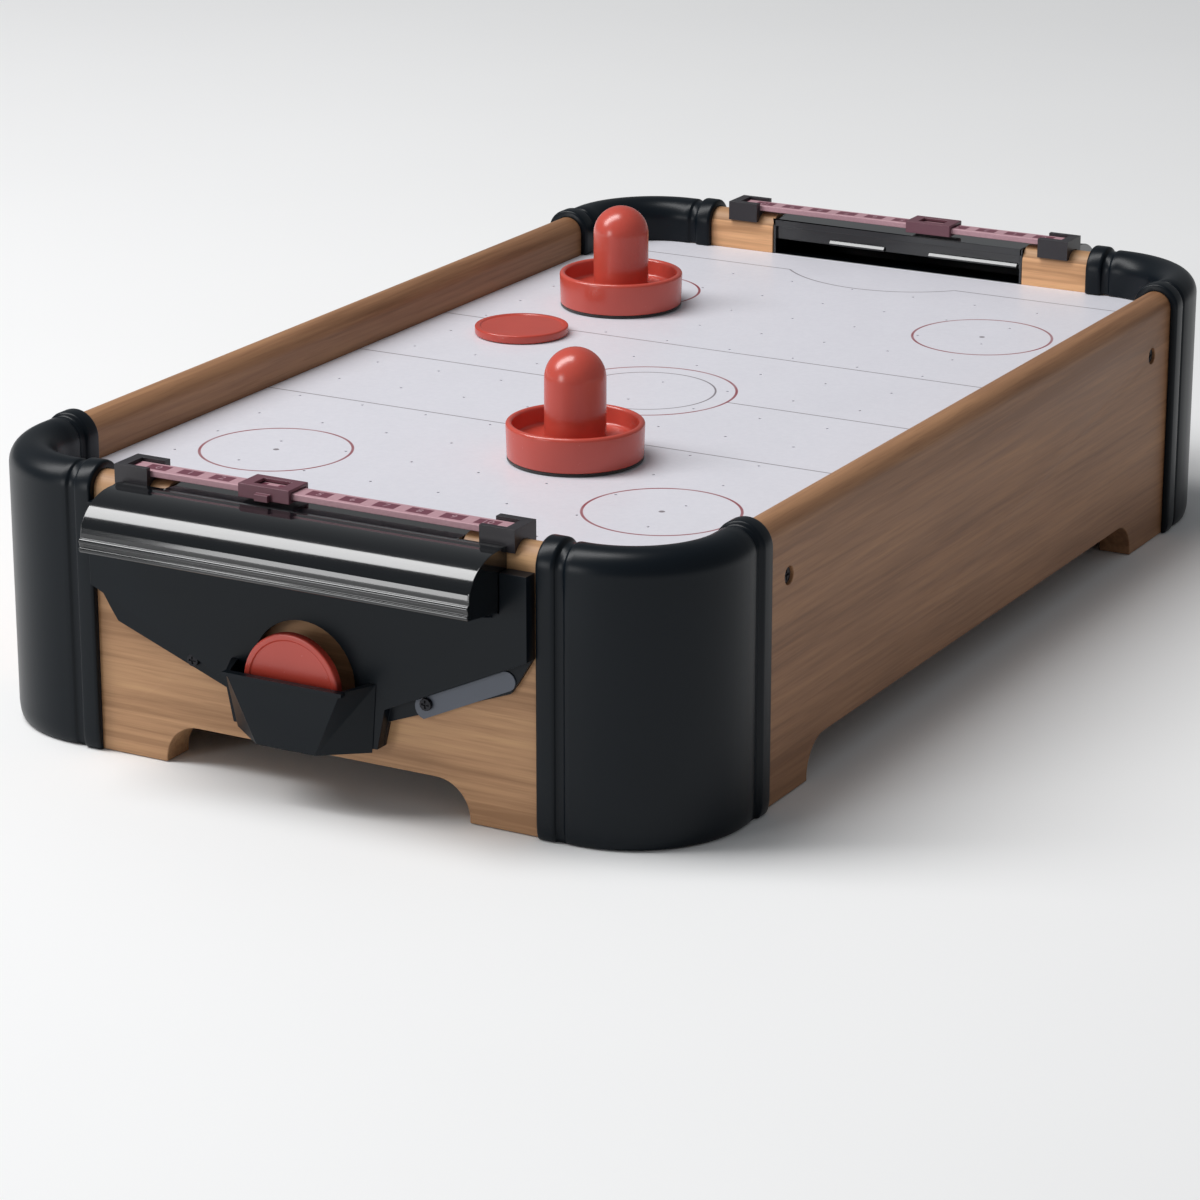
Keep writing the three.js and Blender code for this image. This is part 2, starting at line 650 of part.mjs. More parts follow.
function endCleat() {
  const reach = cornerX - CLEAT_SETBACK;
  const inside = -fieldHalfY + CLEAT_WIDTH;
  return block(-reach, reach, -fieldHalfY, inside, baseTop + FIT, fieldBottom - FIT);
}

// ---- fan --------------------------------------------------------------------------------------
function fanHousing() {
  const grilleTop = fanBottom + GRILLE_THICK;
  const cupInner = MOTOR_RADIUS + FIT;
  const cupOuter = cupInner + FAN_WALL;
  const cupTop = fanBottom + FAN_CUP_HEIGHT;
  const wall = lathe(
    [
      [fanInner, fanBottom],
      [fanRadius, fanBottom],
      [fanRadius, fanTop - FAN_WALL],
      [fanRadius + FAN_RIM, fanTop - FAN_WALL],
      [fanRadius + FAN_RIM, fanTop],
      [fanInner, fanTop],
      [fanInner, fanBottom],
    ],
    24,
  );
  const cup = lathe([
    [0, fanBottom],
    [cupOuter, fanBottom],
    [cupOuter, cupTop],
    [cupInner, cupTop],
    [cupInner, fanBottom + FAN_WALL],
    [0, fanBottom + FAN_WALL],
  ]);
  const ringMiddle = (cupOuter + fanInner) / 2;
  const ring = lathe([
    [ringMiddle - GRILLE_RING, fanBottom],
    [ringMiddle + GRILLE_RING, fanBottom],
    [ringMiddle + GRILLE_RING, grilleTop],
    [ringMiddle - GRILLE_RING, grilleTop],
    [ringMiddle - GRILLE_RING, fanBottom],
  ]);
  const spokes = [];
  for (let i = 0; i < SPOKES; i++) {
    const from = cupOuter - FAN_WALL / 2;
    const to = fanInner + FAN_WALL / 2;
    const spoke = block(from, to, -GRILLE_BAR, GRILLE_BAR, fanBottom, grilleTop);
    spokes.push(spoke.rotateZ((Math.PI * (2 * i + 1)) / SPOKES));
  }
  const middle = fanInner + FAN_WALL / 2;
  const slotHalf = [WIRE_SLOT, WIRE_SLOT, WIRE_SLOT];
  const wireSlots = [
    blockAt([-middle, 0, wireEntryZ], slotHalf),
    blockAt([0, middle, wireEntryZ], slotHalf),
  ];
  return geometryOf(cut(join(wall, cup, ring, ...spokes), ...wireSlots));
}

function motorCan() {
  const can = rod(MOTOR_RADIUS, motorBottom, motorTop);
  const seat = motorTop - SHAFT_SEAT - SHAFT_SEAT_BOTTOM;
  const bore = rod(SHAFT_RADIUS + FIT, seat, motorTop + OVERCUT, 10);
  return geometryOf(cut(solid(can), bore));
}

function motorShaft() {
  return rod(SHAFT_RADIUS, motorTop - SHAFT_SEAT, impellerTop - HUB_SKIN - SHAFT_SEAT_BOTTOM, 10);
}

function impeller() {
  const root = HUB_RADIUS - HUB_SKIN;
  const hub = rod(HUB_RADIUS, impellerBottom, impellerTop, 20);
  const blades = [];
  for (let i = 0; i < BLADES; i++) {
    const blade = new THREE.BoxGeometry(IMPELLER_RADIUS - root, BLADE_CHORD, BLADE_THICK)
      .rotateX(BLADE_TWIST)
      .translate((IMPELLER_RADIUS + root) / 2, 0, (impellerBottom + impellerTop) / 2)
      .rotateZ((2 * Math.PI * i) / BLADES);
    blades.push(blade);
  }
  const bore = rod(SHAFT_RADIUS + FIT, impellerBottom - OVERCUT, impellerTop - HUB_SKIN, 10);
  return geometryOf(cut(join(hub, ...blades), bore));
}

// ---- batteries --------------------------------------------------------------------------------
function batteryBox() {
  const x = batteryHalfX;
  const y = batteryHalfY;
  const wall = BATTERY_WALL;
  const outer = block(-x, x, BATTERY_Y - y, BATTERY_Y + y, batteryBottom, batteryTop);
  const hollow = block(
    -x + wall,
    x - wall,
    BATTERY_Y - y + wall,
    BATTERY_Y + y - wall,
    batteryBottom - OVERCUT,
    batteryTop - wall,
  );
  const tabHalf = [(BATTERY_TAB + wall) / 2, BATTERY_TAB, BATTERY_TAB_THICK / 2];
  const tabX = x + (BATTERY_TAB - wall) / 2;
  const tabZ = batteryTop - BATTERY_TAB_THICK / 2;
  const tabs = [-tabX, tabX].map((middle) => blockAt([middle, BATTERY_Y, tabZ], tabHalf));
  return geometryOf(cut(join(outer, ...tabs), hollow));
}

// The cover slides under the open side of the box. Three ridges give the thumb a grip.
function batteryCover() {
  const x = batteryHalfX;
  const y = batteryHalfY;
  const top = batteryBottom - FIT;
  const bottom = top - BATTERY_COVER;
  const plate = block(-x, x, BATTERY_Y - y, BATTERY_Y + y, bottom, top);
  const ridges = [];
  for (let i = 0; i < GRIP_RIDGES; i++) {
    const far = BATTERY_Y + y - GRIP_SETBACK - GRIP_PITCH * i;
    ridges.push(block(-GRIP_HALF, GRIP_HALF, far - GRIP_WIDTH, far, bottom - GRIP_PROUD, top - OVERCUT));
  }
  return geometryOf(join(plate, ...ridges));
}

// A cell lies along Y, its button towards +Y, or towards -Y when turned.
function cell(index) {
  const end = CELL_LENGTH / 2;
  const profile = [
    [0, -end],
    [CELL_RADIUS, -end],
    [CELL_RADIUS, end - CELL_BUTTON],
    [CELL_BUTTON_RADIUS, end - CELL_BUTTON],
    [CELL_BUTTON_RADIUS, end],
    [0, end],
  ];
  const x = (index - (CELLS - 1) / 2) * cellPitch;
  const turn = index % 2 ? Math.PI / 2 : -Math.PI / 2;
  return lathe(profile, 16).rotateX(turn).translate(x, BATTERY_Y, cellZ);
}

// A thin spring plate at the inner (-1) or outer (1) end of the cells.
function contactPlate(side) {
  const y = BATTERY_Y + side * (CELL_LENGTH / 2 + CONTACT_GAP + CONTACT_THICK / 2);
  const halfSize = [batteryHalfX - BATTERY_WALL - 2, CONTACT_THICK / 2, CELL_RADIUS - 3];
  return blockAt([0, y, cellZ], halfSize);
}

// ---- switch -----------------------------------------------------------------------------------
function switchBody() {
  const y = SWITCH_LENGTH / 2;
  const z = SWITCH_HEIGHT / 2;
  const face = -halfW;
  const at = (x0, x1, dy, dz) =>
    block(x0, x1, SWITCH_Y - dy, SWITCH_Y + dy, switchZ - dz, switchZ + dz);
  const body = at(face - BEZEL_PROUD / 2, face + SWITCH_DEPTH, y, z);
  const bezel = at(face - BEZEL_PROUD, face - FIT, y + BEZEL_WIDTH, z + BEZEL_WIDTH);
  const recess = at(
    face - BEZEL_PROUD - OVERCUT,
    face + SWITCH_RECESS,
    ROCKER_HALF + ROCKER_SIDE_GAP,
    z - ROCKER_INSET,
  );
  return geometryOf(cut(join(body, bezel), recess));
}

// The rocker's two faces meet in a shallow ridge. It stands tilted to one side, switched off.
function switchRocker() {
  const outline = polygon([
    [ROCKER_BACK, -ROCKER_HALF],
    [-ROCKER_END_PROUD, -ROCKER_HALF],
    [-ROCKER_MIDDLE_PROUD, 0],
    [-ROCKER_END_PROUD, ROCKER_HALF],
    [ROCKER_BACK, ROCKER_HALF],
  ]);
  const z = SWITCH_HEIGHT / 2 - ROCKER_INSET - FIT;
  return alongZ(outline, -z, z)
    .rotateZ(THREE.MathUtils.degToRad(-ROCKER_TILT))
    .translate(rockerPivotX, SWITCH_Y, switchZ);
}

// ---- wires --------------------------------------------------------------------------------------
function wire(points) {
  const path = new THREE.CatmullRomCurve3(
    points.map(([x, y, z]) => new THREE.Vector3(x, y, z)),
    false,
    "centripetal",
  );
  const section = new THREE.Shape();
  section.absarc(0, 0, WIRE_RADIUS, 0, 2 * Math.PI, false);
  return new THREE.ExtrudeGeometry(section, {
    steps: 22,
    curveSegments: 4,
    extrudePath: path,
    bevelEnabled: false,
  });
}

function wireRoutes() {
  const runZ = baseBottom - WIRE_DROP;
  const switchBack = -halfW + SWITCH_DEPTH + FIT;
  const boxEdge = -batteryHalfX - FIT;
  const boxNear = BATTERY_Y - batteryHalfY - FIT;
  const motorSide = MOTOR_RADIUS + FIT;
  return {
    wire_battery_to_switch: [
      [boxEdge, BATTERY_Y - 12, cellZ],
      [boxEdge - 12, BATTERY_Y - 14, cellZ + 4],
      [switchBack + 30, BATTERY_Y - 50, runZ],
      [switchBack + 14, SWITCH_Y + 50, runZ],
      [switchBack + 12, SWITCH_Y + 6, switchZ + 4],
      [switchBack, SWITCH_Y + 4, switchZ],
    ],
    wire_switch_to_motor: [
      [switchBack, SWITCH_Y - 4, switchZ],
      [switchBack + 14, SWITCH_Y - 5, switchZ + 2],
      [switchBack + 50, SWITCH_Y + 6, runZ - 4],
      [-fanRadius - 18, -8, wireEntryZ + 2],
      [-fanRadius, 0, wireEntryZ],
      [-motorSide, 0, wireEntryZ],
    ],
    wire_battery_to_motor: [
      [-20, boxNear, cellZ],
      [-16, boxNear - 12, cellZ + 3],
      [-4, fanRadius + 14, wireEntryZ + 2],
      [0, fanRadius, wireEntryZ],
      [0, motorSide, wireEntryZ],
    ],
  };
}

// ---- goal end, drawn for the front ----------------------------------------------------------------
// Outlines here are drawn as [out, z], out being the distance from the end board's outer face.
function endOutline(points) {
  return polygon(points.map(([out, z]) => [-halfL - out, z]));
}

// The hood's curved top: a half arch from the rail's crest down to the lip.
function hoodCurve(offset) {
  const top = hoodTop - offset;
  const front = HOOD_REACH - offset;
  const curve = new THREE.CubicBezierCurve(
    new THREE.Vector2(FIT, top),
    new THREE.Vector2(FIT + HOOD_CREST_RUN, top),
    new THREE.Vector2(front - HOOD_BROW_IN, top - HOOD_BROW_DROP),
    new THREE.Vector2(front - LIP_PROUD, lipTop),
  );
  return curve.getPoints(8).map((p) => [p.x, p.y]);
}

function goalHood() {
  const lipBack = HOOD_REACH - HOOD_WALL;
  const outer = [...hoodCurve(0), [HOOD_REACH, lipTop - LIP_ROUND], [HOOD_REACH, lipBottom]];
  const inner = [...hoodCurve(HOOD_WALL), [lipBack, lipTop - 2 * LIP_ROUND], [lipBack, lipBottom]];
  const shell = alongX(endOutline([...outer, ...inner.reverse()]), -hoodHalf, hoodHalf);
  const seat = chuteShoulder + FIT;
  const cheek = endOutline([...outer, [chuteDepth + FIT, seat], [FIT, seat]]);
  const cheeks = [-hoodHalf, hoodHalf - HOOD_WALL].map((x) => alongX(cheek, x, x + HOOD_WALL));
  const linerHalf = goalHalf - FIT;
  const back = -halfL + BOARD - FIT;
  const sillBottom = fieldTop - SILL_THICK;
  const lintelBottom = hoodTop - LINTEL_THICK;
  const lintel = block(-linerHalf, linerHalf, -halfL - OVERCUT, back, lintelBottom, hoodTop);
  const sill = block(-linerHalf, linerHalf, -halfL, back, sillBottom, fieldTop);
  const jambs = [-linerHalf, linerHalf - SILL_THICK].map((x) =>
    block(x, x + SILL_THICK, -halfL, back, sillBottom, hoodTop),
  );
  return geometryOf(join(shell, ...cheeks, lintel, sill, ...jambs));
}

// Right half of the chute's face, bottom to top, drawn as [x, z] and moved in by a margin.
function chuteHalf(margin) {
  const ear = earHalf - margin;
  const lift = margin * 1.1; // along the slanted edges the wall is measured square to them
  const besideHood = hoodHalf + FIT + margin;
  return [
    [chuteBottomHalf - margin, CHUTE_BOTTOM + margin],
    [chuteVHalf - margin, chuteVLow + lift],
    [ear, chuteSideLow + lift],
    [ear, chuteEarTop - margin],
    [besideHood, chuteEarTop - margin],
    [besideHood, chuteShoulder],
  ];
}

// The flange runs below the slanted edges and ends in a rounded tab for the screw.
function flangeHalf() {
  const tab = earHalf - FLANGE_END;
  const edge = (x) => chuteVLow + vSlope * (x - chuteVHalf) - FLANGE_DROP;
  return [
    [chuteBottomHalf, CHUTE_BOTTOM],
    [chuteVHalf - 1, edge(chuteVHalf) + 1],
    [tab, edge(tab) - FLANGE_END / 3],
    [tab + FLANGE_END / 3, edge(tab + FLANGE_END / 3)],
    [earHalf, chuteSideLow],
  ];
}

function puckChute() {
  const out = (distance) => -halfL - distance;
  const behind = out(-OVERCUT);
  const face = alongY(mirrored(chuteHalf(0)), out(chuteDepth), out(FIT));
  const flange = alongY(mirrored(flangeHalf()), out(flangeFront), out(FIT));
  const hollow = alongY(mirrored(chuteHalf(CHUTE_WALL)), out(chutePlateBack), behind);
  const mouthHalf = hoodHalf + FIT - OVERCUT;
  const mouthLow = chuteSideLow + CHUTE_MOUTH_RISE;
  const mouthTop = chuteShoulder + OVERCUT;
  const mouth = block(-mouthHalf, mouthHalf, out(chutePlateBack), behind, mouthLow, mouthTop);
  const arch = new THREE.Shape();
  arch.moveTo(-archRadius, CHUTE_BOTTOM + CHUTE_WALL);
  arch.lineTo(archRadius, CHUTE_BOTTOM + CHUTE_WALL);
  arch.absarc(0, CHUTE_BOTTOM + archRadius, archRadius, 0, Math.PI, false);
  const opening = alongY(arch, out(chuteDepth + OVERCUT), behind, 12);
  const screwHoles = [-chuteScrewX, chuteScrewX].map((x) =>
    holeY(CHUTE_SCREW_SHANK + FIT, out(flangeFront + OVERCUT), behind, x, chuteScrewZ),
  );
  const rampEnd = HOOD_REACH - HOOD_WALL - FIT;
  const rampHalf = hoodHalf - HOOD_WALL - FIT;
  const ramp = endOutline([
    [chutePlateBack, chuteShoulder - RAMP_THICK - 1],
    [chuteDepth, chuteShoulder - RAMP_THICK - 1],
    [chuteDepth, chuteShoulder - RAMP_THICK],
    [rampEnd, lipBottom + 0.8],
    [rampEnd, lipBottom + 0.8 + RAMP_THICK],
    [chutePlateBack, chuteShoulder],
  ]);
  const shell = cut(join(face, flange), hollow, mouth, opening, ...screwHoles);
  return geometryOf(shell.add(solid(alongX(ramp, -rampHalf, rampHalf))));
}

// The tray is a tapered box, open at the top and towards the chute, with a thicker lip.
function puckTray() {
  const back = chuteDepth + FIT;
  const plan = (halfBack, halfFront, reach, start) => [
    [-halfBack, -halfL - start],
    [-halfFront, -halfL - reach],
    [halfFront, -halfL - reach],
    [halfBack, -halfL - start],
  ];
  const backBottom = chuteBottomHalf - 2;
  const floor = trayFloor - TRAY_WALL;
  const outer = loft(
    plan(backBottom, trayHalfBottom, TRAY_REACH - 1, back),
    plan(chuteBottomHalf, trayHalfTop, TRAY_REACH, back),
    floor,
    trayTop,
  );
  const taper = TRAY_TAPER / (trayTop - floor);
  const open = back - 2;
  const inner = loft(
    plan(backBottom - TRAY_WALL, trayHalfBottom - 1, TRAY_REACH - 1 - TRAY_WALL, open),
    plan(chuteBottomHalf - TRAY_WALL, trayHalfTop - 1 + taper, TRAY_REACH - TRAY_WALL, open),
    trayFloor,
    trayTop + OVERCUT,
  );
  const lipHalf = trayHalfTop + TRAY_LIP_PROUD;
  const lipFront = -halfL - TRAY_REACH - TRAY_LIP_PROUD;
  const lipInside = -halfL - TRAY_REACH + TRAY_WALL;
  const lip = block(-lipHalf, lipHalf, lipFront, lipInside, trayTop - TRAY_LIP_HEIGHT, trayTop);
  return geometryOf(cut(join(outer, lip), inner));
}

// A block astride the rail that carries the right (1) or left (-1) end of the score strip.
function scoreBracket(side) {
  const [x0, x1] = side > 0 ? [bracketInner, bracketOuter] : [-bracketOuter, -bracketInner];
  const inside = -halfL + BOARD + BRACKET_INWARD;
  const saddle = block(x0, x1, -halfL, inside, HEIGHT - BRACKET_SKIRT, bracketTop);
  const rail = alongX(boardSection(railY, FIT, railCentre - half), x0 - OVERCUT, x1 + OVERCUT, 12);
  const pocketEnd = side * (stripHalf + FIT);
  const pocketOpen = side * (bracketInner - OVERCUT);
  const pocket = block(
    Math.min(pocketEnd, pocketOpen),
    Math.max(pocketEnd, pocketOpen),
    railY - channelHalf,
    railY + channelHalf,
    channelBottom,
    bracketTop + OVERCUT,
  );
  return geometryOf(cut(solid(saddle), rail, pocket));
}

function scoreStrip() {
  const y = STRIP_WIDTH / 2;
  return block(-stripHalf, stripHalf, railY - y, railY + y, stripTop - STRIP_THICK, stripTop);
}

// A clip round the strip with a window that frames one number and a finger tab outside.
function scoreSlider(x) {
  const y = channelHalf + SLIDER_WALL;
  const top = stripTop + FIT + SLIDER_COVER;
  const outside = railY - y - SLIDER_TAB_PROUD;
  const inside = railY - y + SLIDER_WALL / 2;
  const body = block(-SLIDER_HALF, SLIDER_HALF, railY - y, railY + y, sliderBottom, top);
  const tab = block(-SLIDER_TAB_HALF, SLIDER_TAB_HALF, outside, inside, sliderBottom, stripTop - 1);
  const channel = block(
    -SLIDER_HALF - OVERCUT,
    SLIDER_HALF + OVERCUT,
    railY - channelHalf,
    railY + channelHalf,
    channelBottom,
    stripTop + FIT,
  );
  const window = block(
    -WINDOW_HALF_X,
    WINDOW_HALF_X,
    railY - WINDOW_HALF_Y,
    railY + WINDOW_HALF_Y,
    stripTop,
    top + OVERCUT,
  );
  return geometryOf(cut(join(body, tab), channel, window)).translate(x, 0, 0);
}

// ---- screws -------------------------------------------------------------------------------------
// A pan-head screw along Z with a cross recess: its head stands on z = 0, its shank below.
function screw(headRadius, shankRadius, length, slotLength, slotWidth) {
  const head = rod(headRadius, 0, SCREW_HEAD_THICK, 12);
  const shank = rod(shankRadius, -length, SCREW_HEAD_THICK / 9, 8);
  const slotBottom = SCREW_HEAD_THICK - SCREW_CROSS_DEPTH;
  const slot = (angle) =>
    block(-slotLength, slotLength, -slotWidth, slotWidth, slotBottom, SCREW_HEAD_THICK + OVERCUT)
      .rotateZ(angle);
  return geometryOf(cut(join(head, shank), slot(0), slot(Math.PI / 2)));
}

// Holds the chute's flange to the end board.
function chuteScrew(x) {
  return screw(CHUTE_SCREW_HEAD, CHUTE_SCREW_SHANK, CHUTE_SCREW_LENGTH, 1.5, 0.3)
    .rotateX(Math.PI / 2)
    .translate(x, -halfL - flangeFront - FIT, chuteScrewZ);
}

// Ties the side board to its cleat, its head sunk in a bore.
function sideScrew(y) {
  const seat = SIDE_SCREW_BORE - FIT;
  const length = BOARD + FIT + SIDE_SCREW_GRIP - seat + 0.1;
  return screw(SIDE_SCREW_HEAD, SIDE_SCREW_SHANK, length, 2, 0.4)
    .rotateY(Math.PI / 2)
    .translate(halfW - seat, y, sideScrewZ);
}

// ---- strikers and pucks -----------------------------------------------------------------------
// A striker is one moulded shell: a dished base with a rounded rim and a hollow domed knob. Its
// profile runs down the inside from the crown and back up the outside.
function striker([x, y]) {
  const base = STRIKER_BASE_RADIUS;
  const knob = STRIKER_KNOB_RADIUS;
  const wall = STRIKER_WALL;
  const rimCentre = STRIKER_BASE_HEIGHT - STRIKER_RIM;
  const dome = STRIKER_HEIGHT - knob;
  const dish = STRIKER_BASE_HEIGHT - STRIKER_DISH;
  const profile = [
    ...arc(0, dome, knob - wall, 90, 0, 3),
    [knob - wall, dish - wall],
    [base - wall, dish - wall],
    [base - wall, 0],
    [base, 0],
    ...arc(base - STRIKER_RIM, rimCentre, STRIKER_RIM, 0, 180, 4),
    [base - 2 * STRIKER_RIM - FELT_INSET, dish],
    [knob + STRIKER_FILLET, dish],
    [knob, dish + STRIKER_FILLET],
    ...arc(0, dome, knob, 0, 90, 5),
  ];
  return lathe(profile, 24).translate(x, y, fieldTop + FIT + FELT_THICK + GLUE_LINE);
}

function felt([x, y]) {
  const z = fieldTop + FIT;
  return rod(STRIKER_BASE_RADIUS - FELT_INSET, z, z + FELT_THICK, 24).translate(x, y, 0);
}

function puck() {
  const edge = PUCK_RADIUS - PUCK_CHAMFER;
  const face = PUCK_THICK / 2;
  const shoulder = face - PUCK_CHAMFER;
  return lathe(
    [[0, -face], [edge, -face], [PUCK_RADIUS, -shoulder], [PUCK_RADIUS, shoulder], [edge, face], [0, face]],
    24,
  );
}

// ---- assembly ---------------------------------------------------------------------------------
add(game, "side_panel_right", sideBoard(false), "wood");
add(turned, "side_panel_left", sideBoard(true), "wood");
add(game, "end_panel_front", endBoard(), "wood");
add(turned, "end_panel_rear", endBoard(), "wood");

const cap = cornerCap();
for (const [name, sx, sy] of [
  ["corner_cap_front_right", 1, 1],
  ["corner_cap_front_left", -1, 1],
  ["corner_cap_rear_right", 1, -1],
  ["corner_cap_rear_left", -1, -1],
])
  add(game, name, cap, "cap").scale.set(sx, sy, 1);

add(game, "playfield", playfield(), "field");
add(game, "chamber_base", chamberBase(), "hardboard");
add(game, "side_cleat_right", sideCleat(), "hardboard");
add(turned, "side_cleat_left", sideCleat(), "hardboard");
add(game, "end_cleat_front", endCleat(), "hardboard");
add(turned, "end_cleat_rear", endCleat(), "hardboard");

add(game, "fan_housing", fanHousing(), "cap");
add(game, "motor_can", motorCan(), "steel");
add(game, "motor_shaft", motorShaft(), "steel");
add(game, "impeller", impeller(), "white");

add(game, "battery_box", batteryBox(), "cap");
add(game, "battery_cover", batteryCover(), "cap");
for (let i = 0; i < CELLS; i++) add(game, `battery_${i + 1}`, cell(i), "cell");
add(game, "contact_plate_inner", contactPlate(-1), "brass");
add(game, "contact_plate_outer", contactPlate(1), "brass");

add(game, "switch_body", switchBody(), "cap");
add(game, "switch_rocker", switchRocker(), "red");
for (const [name, points] of Object.entries(wireRoutes())) add(game, name, wire(points), "wire");

// At the rear, turned half round, what is drawn on the right stands on the left.
for (const [end, group, score, right] of [
  ["front", game, FRONT_SCORE, "right"],
  ["rear", turned, -REAR_SCORE, "left"],
]) {
  const left = right === "right" ? "left" : "right";
  add(group, `goal_hood_${end}`, goalHood(), "hood");
  add(group, `puck_chute_${end}`, puckChute(), "cap");
  add(group, `puck_tray_${end}`, puckTray(), "cap");
  add(group, `score_bracket_${end}_${right}`, scoreBracket(1), "clip");
  add(group, `score_bracket_${end}_${left}`, scoreBracket(-1), "clip");
  add(group, `score_strip_${end}`, scoreStrip(), "strip");
  add(group, `score_slider_${end}`, scoreSlider(score), "clip");
  add(group, `chute_screw_${end}_${right}`, chuteScrew(chuteScrewX), "steel");
  add(group, `chute_screw_${end}_${left}`, chuteScrew(-chuteScrewX), "steel");
}

for (const [side, group, front] of [["right", game, -sideScrewY], ["left", turned, sideScrewY]]) {
  add(group, `side_screw_${side}_front`, sideScrew(front), "steel");
  add(group, `side_screw_${side}_rear`, sideScrew(-front), "steel");
}

add(game, "striker_front", striker(frontStriker), "red");
add(game, "striker_felt_front", felt(frontStriker), "felt");
add(game, "striker_rear", striker(rearStriker), "red");
add(game, "striker_felt_rear", felt(rearStriker), "felt");

const fieldPuck = add(game, "puck_field", puck(), "red");
fieldPuck.position.set(...fieldPuckPlace, fieldTop + FIT + PUCK_THICK / 2);

const trayPuck = add(game, "puck_in_tray", puck(), "red");
trayPuck.rotation.x = Math.PI / 2;
trayPuck.position.set(0, -halfL - trayPuckOut, trayPuckZ);

export default game;
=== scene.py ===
# %% [markdown]
# # A tabletop air hockey game
# Four foil-wrapped boards, moulded corner caps, a perforated field and a glossy goal hood at each
# end. The CAD model holds every size and place. This script loads it as a fixed frame, puts a
# fine surface over each part and gives each material its finish. Everything is in metres.
# %% Load the frame
import json
import math

import bmesh
import bpy
import numpy as np
from mathutils import Matrix, Vector


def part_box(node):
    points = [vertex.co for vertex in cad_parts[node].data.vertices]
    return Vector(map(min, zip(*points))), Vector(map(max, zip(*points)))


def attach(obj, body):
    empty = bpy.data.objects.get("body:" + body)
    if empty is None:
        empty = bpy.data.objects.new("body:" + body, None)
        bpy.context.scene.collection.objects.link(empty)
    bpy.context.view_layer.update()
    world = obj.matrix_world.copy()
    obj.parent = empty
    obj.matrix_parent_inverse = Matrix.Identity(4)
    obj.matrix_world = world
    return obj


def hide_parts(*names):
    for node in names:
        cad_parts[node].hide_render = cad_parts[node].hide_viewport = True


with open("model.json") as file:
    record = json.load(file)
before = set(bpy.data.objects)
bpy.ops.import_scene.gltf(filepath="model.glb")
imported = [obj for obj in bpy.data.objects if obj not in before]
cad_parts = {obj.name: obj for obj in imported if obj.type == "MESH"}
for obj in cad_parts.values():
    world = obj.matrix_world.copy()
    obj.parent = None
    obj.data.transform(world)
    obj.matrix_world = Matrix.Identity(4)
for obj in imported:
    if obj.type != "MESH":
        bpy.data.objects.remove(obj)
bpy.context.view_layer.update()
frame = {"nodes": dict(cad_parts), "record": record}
NODES = frame["nodes"]
BODY_OF = {n: b for b, members in frame["record"]["behaviour"]["bodies"].items() for n in members}
SLOT_OF = {s["node"]: s["material_slot"] for s in frame["record"]["subparts"]}

# %% [markdown]
# ## Measures
# Lengths in the text are millimetres, because that is what a maker reads off a drawing. MM turns
# them into metres. The main lines of the game come from the boxes of the CAD nodes. Parts that
# slip together stand FIT apart, and the rail's middle line turns each corner at MID_RADIUS.
# %% Main lines of the game
MM = 0.001
FIT = 0.3 * MM
board_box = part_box("end_panel_front")
side_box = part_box("side_panel_right")
field_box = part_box("playfield")
END_FACE = -board_box[0].y
SIDE_FACE = side_box[1].x
BOARD = side_box[1].x - side_box[0].x
CREST = side_box[1].z
FIELD_TOP = field_box[1].z
BOARD_INSIDE = -board_box[1].y
RAIL_CENTRE = CREST - BOARD / 2
CORNER_X = board_box[1].x + FIT
CORNER_Y = side_box[1].y + FIT
MID_RADIUS = SIDE_FACE - BOARD / 2 - CORNER_X
print("outer faces", round(END_FACE, 4), round(SIDE_FACE, 4), "field top", round(FIELD_TOP, 4))

# %% [markdown]
# ## Node materials
# Every finish is a small graph of shader nodes. One function adds a node, fills its sockets and
# returns what comes out, so that a finish reads as a list of steps. Colours are written as the
# hex values a paint shop would give and turned to linear light once, here.
# %% Node and colour helpers


def linear(hex_colour):
    """sRGB hex to linear RGBA: c / 12.92 up to 0.04045, else ((c + 0.055) / 1.055) ^ 2.4."""
    parts = [int(hex_colour[i:i + 2], 16) / 255 for i in (1, 3, 5)]
    return (*[c / 12.92 if c <= 0.04045 else ((c + 0.055) / 1.055) ** 2.4 for c in parts], 1.0)


def node(tree, kind, *inputs, out=0, stops=(), **settings):
    """Adds a node and returns one of its outputs. Inputs go in order, or by name from a dict.

    A socket is linked, a hex colour made linear, a number or tuple set. Stops fill a ramp.
    """
    made = tree.nodes.new("ShaderNode" + kind)
    for name, value in settings.items():
        setattr(made, name, value)
    named = inputs[0] if inputs and isinstance(inputs[0], dict) else dict(enumerate(inputs))
    for key, value in named.items():
        if isinstance(value, bpy.types.NodeSocket):
            tree.links.new(value, made.inputs[key])
        else:
            made.inputs[key].default_value = linear(value) if isinstance(value, str) else value
    for i, (where, value) in enumerate(stops):
        elements = made.color_ramp.elements
        stop = elements[i] if i < len(elements) else elements.new(where)
        stop.position = where
        stop.color = linear(value) if isinstance(value, str) else (value, value, value, 1)
    return made.outputs[out]


def finish(name, **sockets):
    """A new material with one Principled shader. Returns the material, its tree and the shader."""
    material = bpy.data.materials.new(name)
    material.use_nodes = True
    tree = material.node_tree
    shader = next(n for n in tree.nodes if n.type == "BSDF_PRINCIPLED")
    for key, value in sockets.items():
        shader.inputs[key.replace("_", " ")].default_value = value
    return material, tree, shader


def lay(tree, shader, colour, gloss, height, depth_mm):
    """Gives a shader its colour, its gloss and a relief: height (0 to 1) times a depth in mm."""
    relief = node(tree, "Bump", {"Height": height, "Distance": depth_mm * MM, "Strength": 0.6})
    for socket, source in (("Base Color", colour), ("Roughness", gloss), ("Normal", relief)):
        tree.links.new(source, shader.inputs[socket])


